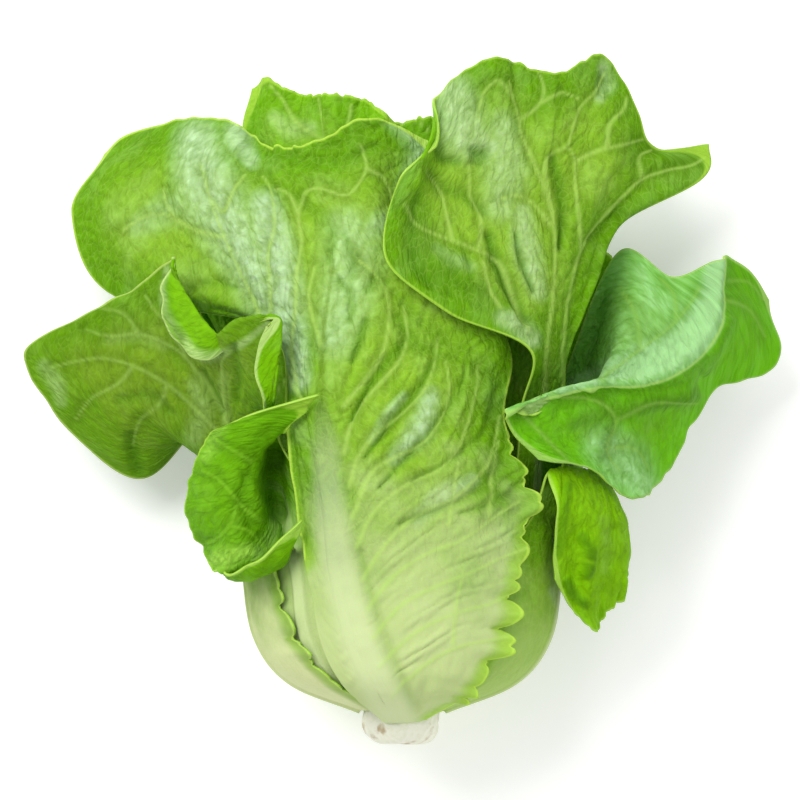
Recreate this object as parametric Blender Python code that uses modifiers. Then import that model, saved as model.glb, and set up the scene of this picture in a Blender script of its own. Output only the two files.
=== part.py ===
"""A loose-leaved romaine lettuce head that lies on its back, as cut.

Row frame: +Y from the cut stem to the leaf tips, +X to the head's right, +Z up from the table.
The stem is one turned solid. Each leaf is a solid of its own: a smooth sheet carried through a
coarse cage of points, given a thickness that grows along its midrib. Near the stem every leaf lies
on its own shell of a nested egg shape, so that neighbours stay apart there. Above that its crown
rows say how far it opens. All lengths below are in millimetres.
"""

import math

import bmesh
import bpy
import numpy as np
from mathutils import Vector

MM = 0.001

# The egg-shaped body of the head, measured on its outermost shell
AXIS_X = 1.2
AXIS_Z = 50.6
BELLY_Y = -68.0
HALF_WIDTH = 65.5
HALF_DEPTH = 50.6
BODY_TALL = 60.0
BLUNT = 0.84
SHELL_GAP_SIDE = 2.6
SHELL_GAP_FOOT = 3.5

# The cut stem, turned about the head's axis
STEM_RADIUS = 15.5
STEM_TIP_RADIUS = 5.0
BUTT_Y = -138.0
STEM_TOP_Y = -78.0
STEM_SIDES = 20
STEM_STATIONS = 7
CUT_ROUND_Y = -127.0
# The cut end: shares of the stem's radius, and how far each lies above the butt
CUT_FACE = [(0.98, 7.0), (0.92, 3.4), (0.84, 1.0), (0.70, 0.0), (0.50, 0.3), (0.0, 0.9)]
STEM_TIP_CAP = 2.0
STEM_MERGE = 0.01
STEM_ROUGHNESS = 0.6
LEAF_FOOT_GAP = 2.2

# Leaf blades
BLADE_THICK = 1.0
RIB_THICK = 2.8
RIB_HALF_WIDTH = 0.14
FOOT_RISES = (42.0, 66.0, 90.0)
FOOT_SHARES = (0.30, 0.70, 1.0)
LEAF_ROUGHNESS = 0.45

# The plane of the three spots that the head lies on, and the block that flattens them, in metres
REST_PLANE = -0.6
REST_CUTTER = Vector((0.16, 0.26, 0.02))

# Leaves are deepest green outside and pale at the heart
OUTER_GREEN = (0.16, 0.42, 0.02)
HEART_GREEN = (0.62, 0.76, 0.26)
HEART_LEVEL = 16
STEM_WHITE = (0.80, 0.80, 0.62)

# The drawing that curled leaves are laid out on: one unit in mm, and the middle of its 800 units
UNIT = 0.4
MIDDLE = 400

# One crown for each leaf that the eye can follow: rows of points from the belly to the top margin.
# A row gives the x, the y and the z of its points, from one side margin to the other, or one
# number where they share it. A row in square brackets gives each point as drawn: its place on the
# drawing, right and down from the upper left corner, and its z in mm.
FRONT_CROWN = [
    ((-41, -36, -31, -26, -4, 24, 51), -40, (88, 93, 97, 100, 102, 98, 84)),
    ((-45, -41, -37, -33, -10, 18, 42), (-8, -8, -6, -5, -4, -5, -8), (84, 90, 93, 95, 100, 98, 87)),
    ((-54, -49, -43, -36, -12, 18, 45), (28, 28, 29, 30, 30, 26, 20), (72, 79, 85, 90, 96, 93, 79)),
    ((-116, -90, -64, -40, -16, 6, 30), (42, 50, 58, 60, 60, 56, 44), (36, 52, 70, 84, 90, 88, 77)),
    ((-132, -104, -76, -50, -24, 0, 20), (75, 84, 87, 88, 88, 86, 78), (30, 44, 60, 73, 82, 82, 74)),
    ((-119, -94, -68, -48, -32, -10, 13), (99, 112, 111, 100, 104, 112, 102), (28, 38, 52, 66, 76, 80, 76)),
]
UPPER_RIGHT_CROWN = [
    ((44, 47, 51, 54, 57, 59, 60), -36, (74, 71, 67, 63, 58, 53, 48)),
    ((48, 51, 54, 57, 60, 63, 65), (-4, -3, -2, -1, -1, -1, -1), (76, 74, 72, 70, 67, 64, 61)),
    ((52, 55, 58, 61, 64, 66, 68), (20, 21, 21, 21, 20, 20, 20), (90, 84, 78, 74, 70, 66, 62)),
    ((19, 34, 48, 60, 67, 73, 77), (35, 44, 47, 46, 46, 46, 46), (101, 94, 84, 76, 70, 64, 59)),
    ((-5, 12, 36, 57, 72, 82, 88), (55, 74, 80, 78, 76, 73, 71), (103, 92, 82, 76, 70, 62, 55)),
    ((0, 17, 38, 60, 78, 96, 121), (86, 104, 108, 108, 104, 96, 89), (98, 88, 78, 72, 66, 56, 43)),
    ((14, 18, 38, 62, 83, 100, 123), (101, 124, 136, 130, 137, 103, 102), (95, 82, 74, 68, 60, 54, 41)),
]
RIGHT_CROWN = [
    ((61, 65, 67, 68, 66, 59, 47), -40, (67, 59, 50, 40, 31, 23, 17)),
    ((69, 74, 78, 81, 82, 78, 70), (-8, -6, -1, 5, 10, 15, 20), (80, 70, 59, 50, 41, 34, 28)),
    ((60, 68, 78, 86, 91, 92, 88), (-3, 0, 7, 18, 30, 44, 60), (92, 82, 70, 60, 52, 46, 41)),
    ((50, 64, 79, 93, 104, 110, 109), (-6, 1, 7, 16, 25, 38, 49), (98, 91, 80, 70, 61, 54, 47)),
    [(507, 410, 100), (550, 392, 97), (592, 381, 90), (640, 376, 80), (682, 352, 72), (712, 312, 65),
     (716, 262, 55)],
    [(503, 414, 101), (546, 398, 97), (592, 388, 90), (648, 384, 79), (694, 362, 70), (721, 318, 62),
     (724, 257, 52)],
    [(504, 419, 98), (548, 404, 94), (596, 395, 86), (654, 393, 73), (703, 369, 63), (731, 320, 56),
     (731, 260, 48)],
    [(517, 438, 95), (560, 434, 90), (610, 433, 81), (657, 424, 67), (700, 382, 55), (745, 332, 45),
     (752, 270, 43)],
    [(538, 460, 91), (588, 468, 83), (630, 498, 70), (668, 472, 55), (708, 396, 44), (776, 366, 26),
     (772, 300, 32)],
]
LOW_RIGHT_CROWN = [
    ((52, 60, 66, 69, 70, 69, 66), (-46, -46, -46, -46, -46, -47, -48), (80, 74, 67, 59, 50, 41, 32)),
    ((58, 64, 71, 77, 81, 81, 77), (-29, -27, -27, -28, -31, -36, -42), (82, 78, 72, 65, 57, 48, 39)),
    ((61, 68, 77, 85, 90, 90, 84), (-42, -42, -43, -45, -48, -52, -56), (86, 83, 78, 71, 62, 52, 43)),
    ((61, 67, 75, 84, 91, 90, 83), (-60, -65, -68, -68, -68, -70, -70), (80, 77, 73, 67, 58, 49, 42)),
    ((61, 69, 78, 82, 88, 88, 82), (-71, -84, -92, -86, -78, -76, -78), (76, 69, 62, 60, 54, 47, 41)),
]
LEFT_CROWN = [
    ((-56, -60, -63, -64, -64, -63, -61, -58, -55), (-42, -42, -42, -42, -42, -42, -42, -43, -44),
     (27, 33, 39, 45, 50, 56, 61, 66, 71)),
    ((-76, -78, -77, -75, -72, -68, -63, -52, -53), (-26, -24, -22, -20, -18, -16, -15, -12, -13),
     (39, 44, 49, 54, 58, 62, 66, 72, 76)),
    [(195, 445, 39), (172, 437, 43), (150, 420, 46), (140, 402, 49), (146, 384, 53), (160, 370, 58),
     (176, 360, 63), (192, 360, 68), (206, 366, 73), (222, 374, 77), (238, 380, 81), (252, 386, 85),
     (264, 392, 88), (278, 398, 92), (264, 404, 91)],
    [(193, 440, 37), (160, 446, 38), (128, 432, 40), (105, 402, 44), (108, 370, 48), (130, 345, 54),
     (158, 325, 62), (180, 315, 70), (194, 325, 78), (212, 345, 85), (230, 350, 91), (248, 350, 94),
     (268, 350, 96), (280, 360, 98), (257, 368, 97)],
    [(193, 436, 35), (152, 460, 33), (108, 443, 36), (75, 400, 40), (72, 360, 43), (104, 325, 50),
     (145, 302, 60), (176, 280, 72), (188, 295, 80), (203, 322, 87), (220, 335, 94), (244, 322, 98),
     (272, 318, 99), (282, 326, 100), (264, 334, 100)],
    [(194, 431, 33), (140, 477, 28), (85, 447, 33), (45, 402, 35), (24, 352, 35), (78, 318, 46),
     (128, 292, 57), (176, 258, 72), (162, 290, 74), (173, 335, 76), (206, 359, 84), (235, 344, 93),
     (256, 324, 98), (274, 320, 100), (270, 326, 101)],
]
LOW_LEFT_CROWN = [
    [(292, 550, 79), (285, 543, 75), (282, 528, 71), (280, 508, 68), (280, 488, 68), (280, 470, 69),
     (280, 457, 72), (282, 450, 76), (285, 445, 80)],
    [(295, 548, 86), (280, 552, 84), (267, 540, 83), (262, 518, 84), (260, 495, 85), (260, 470, 86),
     (265, 450, 88), (275, 438, 90), (288, 430, 93)],
    [(297, 538, 91), (274, 564, 87), (250, 558, 88), (238, 530, 91), (234, 500, 92), (236, 470, 93),
     (246, 445, 95), (268, 424, 97), (306, 412, 97)],
    [(300, 526, 95), (264, 572, 90), (236, 578, 82), (216, 545, 83), (210, 505, 85), (212, 468, 88),
     (226, 440, 92), (258, 416, 98), (312, 405, 100)],
    [(302, 515, 98), (255, 562, 96), (224, 574, 84), (200, 548, 72), (190, 505, 73), (196, 465, 78),
     (208, 437, 85), (245, 416, 97), (319, 397, 103)],
]
FRONT_INNER_CROWN = [
    ((-34, -25, -15, -5, 5, 14, 23), -20, (80, 84, 86, 87, 87, 86, 84)),
    ((-46, -36, -25, -14, -3, 8, 17), 30, (66, 74, 79, 81, 81, 80, 79)),
    ((-58, -48, -37, -26, -14, -2, 8), (76, 76, 78, 80, 80, 78, 74), (50, 57, 63, 67, 69, 70, 70)),
    ((-62, -53, -42, -30, -18, -8, 1), (104, 106, 108, 108, 108, 106, 100), (42, 47, 53, 58, 62, 65, 67)),
    ((-60, -53, -42, -30, -18, -9, -2), (125, 129, 123, 122, 121, 117, 110), (38, 43, 49, 55, 59, 62, 65)),
]
BACK_CROWN = [
    ((57, 40, 20, 0, -20, -40, -57), -30, (13, 5, 1.2, 0.4, 1.2, 5, 13)),
    ((63, 44, 22, 0, -22, -44, -63), (10, 12, 12, 12, 12, 12, 10), (10, 3.5, 1.5, 1.5, 1.5, 3.5, 10)),
    ((67, 48, 24, 0, -24, -48, -67), (50, 54, 56, 56, 56, 54, 50), (8, 2.6, 2.6, 3.5, 2.6, 2.6, 8)),
    ((62, 44, 22, 0, -22, -44, -62), (82, 92, 98, 98, 98, 92, 82), (5, -0.8, 3.5, 6, 3.5, -2.2, 5)),
    ((50, 38, 20, 0, -20, -38, -50), (98, 109, 114, 112, 114, 109, 98), (8, 5, 7, 10, 7, 5, 8)),
]

# name, shell level, rib turn at foot and belly, span of turns at the belly and at the foot, ruffle
# (amount, waves, phase), then the crown: rows above, or the plan of an open or a closing crown.
# Spans run from the greater turn to the lesser, so that every sheet's normals point outwards.
LEAVES = [
    {"name": "front_leaf", "level": 0, "rib": (97, 112), "span": (125, 46), "foot": (115, 58),
     "ruffle": (2.0, 4, 0.4), "crown": FRONT_CROWN},
    {"name": "low_left_leaf", "level": 2, "rib": (132, 134), "span": (152, 108), "foot": (152, 108),
     "ruffle": (1.4, 3, 1.1), "crown": LOW_LEFT_CROWN},
    {"name": "low_right_leaf", "level": 1, "rib": (8, 6), "span": (56, -34), "foot": (54, -34),
     "ruffle": (1.4, 3, 2.3), "crown": LOW_RIGHT_CROWN},
    {"name": "left_leaf", "level": 1, "rib": (178, 182), "span": (225, 143), "foot": (220, 118),
     "ruffle": (1.0, 4, 0.0), "crown": LEFT_CROWN},
    {"name": "right_leaf", "level": 2, "rib": (-22, -20), "span": (22, -60), "foot": (12, -54),
     "ruffle": (0.9, 4, 1.7), "crown": RIGHT_CROWN},
    {"name": "upper_right_leaf", "level": 3, "rib": (52, 30), "span": (56, 6), "foot": (78, 26),
     "ruffle": (1.6, 4, 0.9), "crown": UPPER_RIGHT_CROWN},
    {"name": "back_leaf", "level": 0, "rib": (270, 270), "span": (318, 222), "foot": (310, 230),
     "ruffle": (-1.0, 3, 0.3), "crown": BACK_CROWN},
    {"name": "back_left_leaf", "level": 3, "rib": (246, 246), "span": (264, 229), "foot": (266, 226),
     "ruffle": (2.2, 3, 1.4), "top": (-94, 64, 18), "side": (0.7, 0.7, 0), "half_width": 44,
     "heading": (-0.7, 0.7, 0), "lift": (0, 0, 2)},
    {"name": "back_right_leaf", "level": 4, "rib": (278, 278), "span": (296, 256), "foot": (298, 258),
     "ruffle": (2.2, 3, 2.0), "top": (94, 50, 16), "side": (0.6, -0.7, 0), "half_width": 44,
     "heading": (0.75, 0.65, 0), "lift": (0, 0, 2)},
    {"name": "front_inner_leaf", "level": 4, "rib": (95, 95), "span": (126, 66), "foot": (119, 71),
     "ruffle": (1.4, 3, 0.2), "crown": FRONT_INNER_CROWN},
    {"name": "right_inner_leaf", "level": 5, "rib": (15, 15), "span": (46, -20), "foot": (37, -7),
     "ruffle": (1.8, 3, 0.8), "top": (72, 74, 49), "side": (-0.5, 0.35, 0.5), "half_width": 26,
     "heading": (0.45, 0.9, 0), "lift": (0, 0, 0)},
    {"name": "left_inner_leaf", "level": 5, "rib": (168, 168), "span": (202, 142), "foot": (190, 146),
     "ruffle": (1.8, 3, 0.5), "top": (-84, 80, 32), "side": (-0.7, -0.45, -0.2), "half_width": 27,
     "heading": (-0.6, 0.8, 0), "lift": (0, 0, 0)},
    {"name": "back_inner_leaf", "level": 6, "rib": (270, 270), "span": (306, 234), "foot": (292, 248),
     "ruffle": (2.4, 3, 1.9), "top": (0, 106, 24), "side": (1, 0, 0), "half_width": 46,
     "heading": (0, 1, 0), "lift": (0, 0, 8)},
    {"name": "upper_inner_leaf", "level": 6, "rib": (78, 78), "span": (100, 53), "foot": (98, 58),
     "ruffle": (2.0, 3, 2.6), "top": (14, 113, 58), "side": (-1, 0, 0), "half_width": 24,
     "heading": (0.1, 1, 0), "lift": (0, 0, -2)},
    {"name": "heart_left_leaf", "level": 11, "rib": (205, 205), "span": (262, 148), "foot": (239, 171),
     "ruffle": (1.6, 3, 0.6), "closing": (178, 142)},
    {"name": "heart_right_leaf", "level": 13.5, "rib": (335, 335), "span": (395, 275), "foot": (371, 299),
     "ruffle": (1.6, 3, 1.6), "closing": (168, 143)},
    {"name": "heart_front_leaf", "level": 16, "rib": (95, 95), "span": (160, 30), "foot": (133, 57),
     "ruffle": (1.4, 3, 2.6), "closing": (146, 142)},
]

# The plain crowns: points across, rows, the arch of the top margin in degrees, its roundness, and
# how stiffly they leave the belly and reach the margin, as a share of the way between
PLAIN_COLUMNS = 7
PLAIN_ROWS = 4
TOP_ARCH = 80.0
TOP_ROUND = 0.7
CROWN_RUN = 0.8
HEART_NARROWING = 0.35
HEART_ROUND = 16.0

# The ruffles: where the margin starts inside the blade, how square it runs round the tip, the
# second wave's size, rate and phase beside the first's, and where along the leaf they set in
MARGIN_START = 0.62
MARGIN_SQUARE = 6
TIP_TURN = 0.8
SECOND_WAVE = (0.45, 1.73, 2.1, 0.7)
RUFFLE_START = 0.42
RUFFLE_FULL = 0.67

# The midrib narrows towards the tip and ends where this rate times the way along reaches 1
RIB_TAPER = 1.6

# How many faces a leaf has across and along its blade
BIG_GRID = (20, 16)
LIPPED_GRID = (28, 18)
RIDGED_GRID = (18, 24)
CUPPED_GRID = (16, 16)
MIDDLE_GRID = (14, 12)
PLAIN_GRID = (12, 9)
HEART_GRID = (10, 8)
GRIDS = {
    "front_leaf": BIG_GRID, "left_leaf": LIPPED_GRID, "right_leaf": RIDGED_GRID,
    "upper_right_leaf": BIG_GRID, "low_left_leaf": CUPPED_GRID, "low_right_leaf": MIDDLE_GRID,
    "back_leaf": MIDDLE_GRID, "front_inner_leaf": MIDDLE_GRID,
    "heart_left_leaf": HEART_GRID, "heart_right_leaf": HEART_GRID, "heart_front_leaf": HEART_GRID,
}


def clear_scene():
    for thing in list(bpy.data.objects):
        bpy.data.objects.remove(thing, do_unlink=True)


def material(name, colour, roughness):
    made = bpy.data.materials.new(name)
    made.use_nodes = True
    shader = made.node_tree.nodes["Principled BSDF"]
    shader.inputs["Base Color"].default_value = (*colour, 1.0)
    shader.inputs["Roughness"].default_value = roughness
    shader.inputs["Metallic"].default_value = 0.0
    return made


def shell_point(level, turn, rise):
    """A point on a nested shell. turn is degrees round the head's axis, from +X towards the front
    (+Z), and rise is degrees from the stem's pole (0) to the belly (90)."""
    wide = HALF_WIDTH - SHELL_GAP_SIDE * level
    deep = HALF_DEPTH - SHELL_GAP_SIDE * level
    tall = BODY_TALL - SHELL_GAP_FOOT * level
    out = math.sin(math.radians(rise)) ** BLUNT
    along = math.cos(math.radians(rise))
    flattened = 1 - (1 - deep / wide) * out**2
    side = math.radians(turn)
    return (
        AXIS_X + wide * out * math.cos(side),
        BELLY_Y - tall * math.copysign(abs(along) ** BLUNT, along),
        AXIS_Z + wide * out * math.sin(side) * flattened,
    )


def stem_radius_at(y):
    share = min(1.0, max(0.0, (y - BUTT_Y) / (STEM_TOP_Y - BUTT_Y)))
    return STEM_RADIUS + (STEM_TIP_RADIUS - STEM_RADIUS) * share**2


def foot_rows(leaf, columns):
    """The rows of a leaf's cage from the stem to the belly, on the leaf's own shell."""
    level = leaf["level"]
    foot_turn, belly_turn = leaf["rib"]
    first, last = leaf["span"]
    foot_first, foot_last = leaf["foot"]
    wide = HALF_WIDTH - SHELL_GAP_SIDE * level
    pole_y = BELLY_Y - (BODY_TALL - SHELL_GAP_FOOT * level)
    hole = (stem_radius_at(pole_y) + LEAF_FOOT_GAP) / wide
    start = math.degrees(math.asin(hole ** (1 / BLUNT)))
    rows = []
    for rise, share in zip((start, *FOOT_RISES), (0.0, *FOOT_SHARES)):
        rib = foot_turn + (belly_turn - foot_turn) * share
        near = foot_first * (1 - share) + first * share
        far = foot_last * (1 - share) + last * share
        row = []
        for column in range(columns):
            across = 2 * column / (columns - 1) - 1
            reach = near - rib if across < 0 else far - rib
            row.append(shell_point(level, rib + reach * abs(across), rise))
        rows.append(row)
    return rows


def open_crown(belly_row, leaf):
    """Crown rows of a plain leaf: they run from the belly row to an arched top margin."""
    ahead = np.array(leaf["heading"], float)
    ahead /= np.linalg.norm(ahead)
    side = np.array(leaf["side"], float)
    lift = np.array(leaf["lift"], float)
    centre = np.array(leaf["top"], float)
    half_width = leaf["half_width"]
    run = CROWN_RUN * np.linalg.norm(centre - np.mean(belly_row, axis=0))
    made = []
    for step in range(1, PLAIN_ROWS + 1):
        s = step / PLAIN_ROWS
        stay, leave = 2 * s**3 - 3 * s**2 + 1, s**3 - 2 * s**2 + s
        come, arrive = 3 * s**2 - 2 * s**3, s**3 - s**2
        row = []
        for column, start in enumerate(belly_row):
            across = 2 * column / (PLAIN_COLUMNS - 1) - 1
            swing = across * math.radians(TOP_ARCH)
            end = (
                centre
                - side * half_width * math.sin(swing)
                - ahead * half_width * TOP_ROUND * (1 - math.cos(swing))
                + lift * across**2
            )
            row.append(
                stay * np.array(start)
                + leave * np.array([0, run, 0])
                + come * end
                + arrive * ahead * run
            )
        made.append(row)
    return made


def closing_crown(leaf):
    """Crown rows of a heart leaf: they stay on its shell, which closes towards the tip."""
    tall, last_rise = leaf["closing"]
    rib = leaf["rib"][1]
    first, last = leaf["span"]
    made = []
    for step in range(1, PLAIN_ROWS + 1):
        share = step / PLAIN_ROWS
        row = []
        for column in range(PLAIN_COLUMNS):
            across = 2 * column / (PLAIN_COLUMNS - 1) - 1
            reach = (first - rib if across < 0 else last - rib) * (1 - HEART_NARROWING * share**2)
            rise = 90 + (last_rise - 90) * share - HEART_ROUND * across**2 * share
            x, y, z = shell_point(leaf["level"], rib + reach * abs(across), rise)
            row.append((x, BELLY_Y - tall * math.cos(math.radians(rise)), z))
        made.append(row)
    return made


def through(points, shares):
    """A Catmull-Rom curve through the points, read at shares from 0 to 1."""
    points = np.asarray(points, float)
    ends = [2 * points[0] - points[1]], [2 * points[-1] - points[-2]]
    padded = np.concatenate([ends[0], points, ends[1]])
    place = np.asarray(shares) * (len(points) - 1)
    span = np.minimum(place.astype(int), len(points) - 2)
    t = (place - span).reshape(-1, *[1] * (points.ndim - 1))
    a, b, c, d = (padded[span + k] for k in range(4))
    return b + 0.5 * t * ((c - a) + t * ((2 * a - 5 * b + 4 * c - d) + t * (3 * (b - c) + d - a)))


def crown_row(row):
    """The points of a crown row in millimetres."""
    if isinstance(row, list):
        return np.array([(UNIT * (right - MIDDLE), UNIT * (MIDDLE - down), z) for right, down, z in row])
    return np.stack(np.broadcast_arrays(*row), axis=1)


def leaf_cage(leaf):
    """Every row of a leaf's cage, from its foot to its top margin. Rows with few points are
    spaced out to the leaf's longest row."""
    if "crown" in leaf:
        rows = [crown_row(row) for row in leaf["crown"]]
        columns = max(len(row) for row in rows)
        crown = [through(row, np.linspace(0, 1, columns)) for row in rows]
        foot = foot_rows(leaf, columns)
    else:
        foot = foot_rows(leaf, PLAIN_COLUMNS)
        crown = closing_crown(leaf) if "closing" in leaf else open_crown(foot[-1], leaf)
    return np.array(foot + list(crown), float)


def margin_share(across, along):
    """0 inside the blade and 1 on its margin, rising over the outer part."""
    near = (np.abs(across) ** MARGIN_SQUARE + along**MARGIN_SQUARE) ** (1 / MARGIN_SQUARE)
    rise = np.clip((near - MARGIN_START) / (1 - MARGIN_START), 0, 1)
    return rise**2 * (3 - 2 * rise)


def ruffle_height(leaf, across, along):
    """How far the wavy margin stands off the smooth sheet."""
    amount, waves, phase = leaf["ruffle"]
    size, rate, phase_rate, offset = SECOND_WAVE
    round_edge = across + np.sign(across) * (1 - along) * TIP_TURN
    wave = np.sin(round_edge * waves * math.pi + phase)
    wave += size * np.sin(round_edge * waves * rate * math.pi + phase_rate * phase + offset)
    free = np.clip((along - RUFFLE_START) / (RUFFLE_FULL - RUFFLE_START), 0, 1)
    return amount * margin_share(across, along) * wave * free


def leaf_sheet(leaf, across_steps, along_steps):
    """The leaf's middle surface as rows of points, with its ruffled margin."""
    across = np.linspace(-1, 1, across_steps + 1)
    along = np.linspace(0, 1, along_steps + 1)
    rows = through(leaf_cage(leaf), along)
    sheet = through(rows.transpose(1, 0, 2), (across + 1) / 2).transpose(1, 0, 2)
    normals = np.cross(np.gradient(sheet, axis=1), np.gradient(sheet, axis=0))
    normals /= np.linalg.norm(normals, axis=2, keepdims=True)
    height = ruffle_height(leaf, across[None, :], along[:, None])
    return sheet + normals * height[:, :, None]


def rib_weight(across, along):
    """1 on the thickest part of the midrib and 0 on the thin blade."""
    beside = max(0.0, 1 - (across / RIB_HALF_WIDTH / (RIB_TAPER - along)) ** 2)
    return beside * max(0.0, 1 - along * RIB_TAPER)


def leaf_object(leaf, frame, head):
    """A grid bent to the leaf's sheet and given its thickness."""
    name = leaf["name"]
    across_steps, along_steps = GRIDS.get(name, PLAIN_GRID)
    sheet = leaf_sheet(leaf, across_steps, along_steps)
    shape = bmesh.new()
    bmesh.ops.create_grid(shape, x_segments=across_steps, y_segments=along_steps, size=1.0)
    weights = shape.verts.layers.deform.verify()
    for vert in shape.verts:
        across, along = vert.co.x, (vert.co.y + 1) / 2
        column = round((across + 1) / 2 * across_steps)
        row = round(along * along_steps)
        vert.co = Vector(sheet[row, column]) * MM
        vert[weights][0] = rib_weight(across, along)
    bmesh.ops.triangulate(shape, faces=shape.faces, quad_method="FIXED")
    inward = min(1.0, leaf["level"] / HEART_LEVEL)
    green = [out + (heart - out) * inward for out, heart in zip(OUTER_GREEN, HEART_GREEN)]
    made = linked_object(name, shape, material(name, green, LEAF_ROUGHNESS), frame, head)
    made.vertex_groups.new(name="rib")
    thicken = made.modifiers.new("thickness", "SOLIDIFY")
    thicken.thickness = RIB_THICK * MM
    thicken.offset = 0.0
    thicken.vertex_group = "rib"
    thicken.thickness_vertex_group = BLADE_THICK / RIB_THICK
    return made


def stem_object(frame, head):
    """The cut stem: a profile turned about the head's axis, from its hidden tip to the cut face."""
    profile = [(0.0, STEM_TOP_Y + STEM_TIP_CAP)]
    for step in range(STEM_STATIONS):
        share = 1 - step / (STEM_STATIONS - 1)
        y = CUT_ROUND_Y + (STEM_TOP_Y - CUT_ROUND_Y) * share
        profile.append((stem_radius_at(y), y))
    profile += [(share * STEM_RADIUS, BUTT_Y + up) for share, up in CUT_FACE]
    shape = bmesh.new()
    line = [shape.verts.new((radius * MM, 0, y * MM)) for radius, y in profile]
    for pair in zip(line, line[1:]):
        shape.edges.new(pair)
    finish = material("cut_stem", STEM_WHITE, STEM_ROUGHNESS)
    made = linked_object("cut_stem", shape, finish, frame, head)
    made.location = (AXIS_X * MM, 0, AXIS_Z * MM)
    made.rotation_euler = (math.radians(-90), 0, 0)
    turn = made.modifiers.new("turn", "SCREW")
    turn.steps = STEM_SIDES
    turn.render_steps = STEM_SIDES
    turn.use_merge_vertices = True
    turn.merge_threshold = STEM_MERGE * MM
    return made


def linked_object(name, shape, finish, frame, collection):
    """An object made from a bmesh, held by the head's frame."""
    mesh = bpy.data.meshes.new(name)
    shape.to_mesh(mesh)
    shape.free()
    mesh.materials.append(finish)
    mesh.shade_smooth()
    made = bpy.data.objects.new(name, mesh)
    made.parent = frame
    collection.objects.link(made)
    return made


def cut_flat_spots(leaf, frame, cutters):
    """Three flats on one plane under the back leaf, for the head to lie on."""
    shape = bmesh.new()
    bmesh.ops.create_cube(shape, size=1.0)
    bmesh.ops.scale(shape, verts=shape.verts, vec=REST_CUTTER)
    finish = material("rest_cutter", STEM_WHITE, STEM_ROUGHNESS)
    cutter = linked_object("rest_cutter", shape, finish, frame, cutters)
    cutter.location = (0, 0, REST_PLANE * MM - REST_CUTTER.z / 2)
    cutter.hide_render = True
    cutter.display_type = "WIRE"
    cut = leaf.modifiers.new("flat_spots", "BOOLEAN")
    cut.operation = "DIFFERENCE"
    cut.solver = "EXACT"
    cut.object = cutter


def set_down(frame, head):
    """Move the frame so that the middle of the head's underside is the origin."""
    bpy.context.view_layer.update()
    graph = bpy.context.evaluated_depsgraph_get()
    corners = []
    for solid in head.objects:
        seen = solid.evaluated_get(graph)
        mesh = seen.to_mesh()
        places = np.empty(len(mesh.vertices) * 3)
        mesh.vertices.foreach_get("co", places)
        turned = np.array(seen.matrix_world.to_3x3())
        places = places.reshape(-1, 3) @ turned.T + np.array(seen.matrix_world.translation)
        corners += [places.min(axis=0), places.max(axis=0)]
        seen.to_mesh_clear()
    low, high = np.min(corners, axis=0), np.max(corners, axis=0)
    frame.location = ((low[0] + high[0]) / -2, (low[1] + high[1]) / -2, -low[2])


def main():
    clear_scene()
    head = bpy.data.collections.new("lettuce_head")
    cutters = bpy.data.collections.new("cutters")
    for collection in (head, cutters):
        bpy.context.scene.collection.children.link(collection)
    frame = bpy.data.objects.new("head_frame", None)
    cutters.objects.link(frame)
    stem_object(frame, head)
    for leaf in LEAVES:
        made = leaf_object(leaf, frame, head)
        if leaf["name"] == "back_leaf":
            cut_flat_spots(made, frame, cutters)
    set_down(frame, head)


main()
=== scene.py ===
# %% [markdown]
# # A loose romaine head, leaf by leaf
#
# A lettuce head is a short stem with leaves packed round it in a spiral. Near the stem every leaf
# clasps the ones inside it, so the leaves lie on nested shells. Further out each leaf goes its own
# way: it opens, curls over and ends in a ruffled margin. This lesson builds each leaf as one bent
# sheet, adds its midrib, veins and blisters as relief, and then gives it a waxy green finish.

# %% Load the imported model
import math

import bmesh
import bpy
import numpy as np
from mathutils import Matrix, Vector


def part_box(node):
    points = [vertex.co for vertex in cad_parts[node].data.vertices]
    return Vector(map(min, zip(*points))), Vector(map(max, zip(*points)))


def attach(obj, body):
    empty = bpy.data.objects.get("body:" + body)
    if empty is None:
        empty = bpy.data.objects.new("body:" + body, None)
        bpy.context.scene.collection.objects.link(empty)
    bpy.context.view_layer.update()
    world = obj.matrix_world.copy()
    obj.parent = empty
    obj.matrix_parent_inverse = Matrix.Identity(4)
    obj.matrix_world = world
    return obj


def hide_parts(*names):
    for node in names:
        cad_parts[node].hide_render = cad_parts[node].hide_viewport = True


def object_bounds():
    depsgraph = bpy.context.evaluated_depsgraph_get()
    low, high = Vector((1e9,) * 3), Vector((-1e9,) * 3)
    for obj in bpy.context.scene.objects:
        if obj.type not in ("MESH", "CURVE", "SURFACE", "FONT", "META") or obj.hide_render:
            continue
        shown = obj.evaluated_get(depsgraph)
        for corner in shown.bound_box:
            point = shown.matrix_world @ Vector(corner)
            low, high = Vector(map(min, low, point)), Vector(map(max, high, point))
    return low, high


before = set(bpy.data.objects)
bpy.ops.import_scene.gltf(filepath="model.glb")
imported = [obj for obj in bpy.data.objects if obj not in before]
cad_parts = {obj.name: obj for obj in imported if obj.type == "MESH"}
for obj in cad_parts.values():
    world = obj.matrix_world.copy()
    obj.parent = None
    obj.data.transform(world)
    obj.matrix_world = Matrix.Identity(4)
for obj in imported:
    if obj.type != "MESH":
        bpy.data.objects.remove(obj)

cad_low, cad_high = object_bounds()
print("packed model:", [round(1000 * s) for s in cad_high - cad_low], "mm")

# %% [markdown]
# The head is laid out on a drawing seen from above: 800 units a side, one unit to 0.4 mm, counted
# from its upper left corner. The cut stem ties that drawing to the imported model, because its axis
# and its butt are known in both. Lengths are in millimetres until a mesh is written.

# %% The layout drawing
MM = 0.001
UNIT = 0.4
MIDDLE = 400
AXIS_X, AXIS_Z, BUTT_Y = 1.2, 50.6, -138.0

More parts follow.
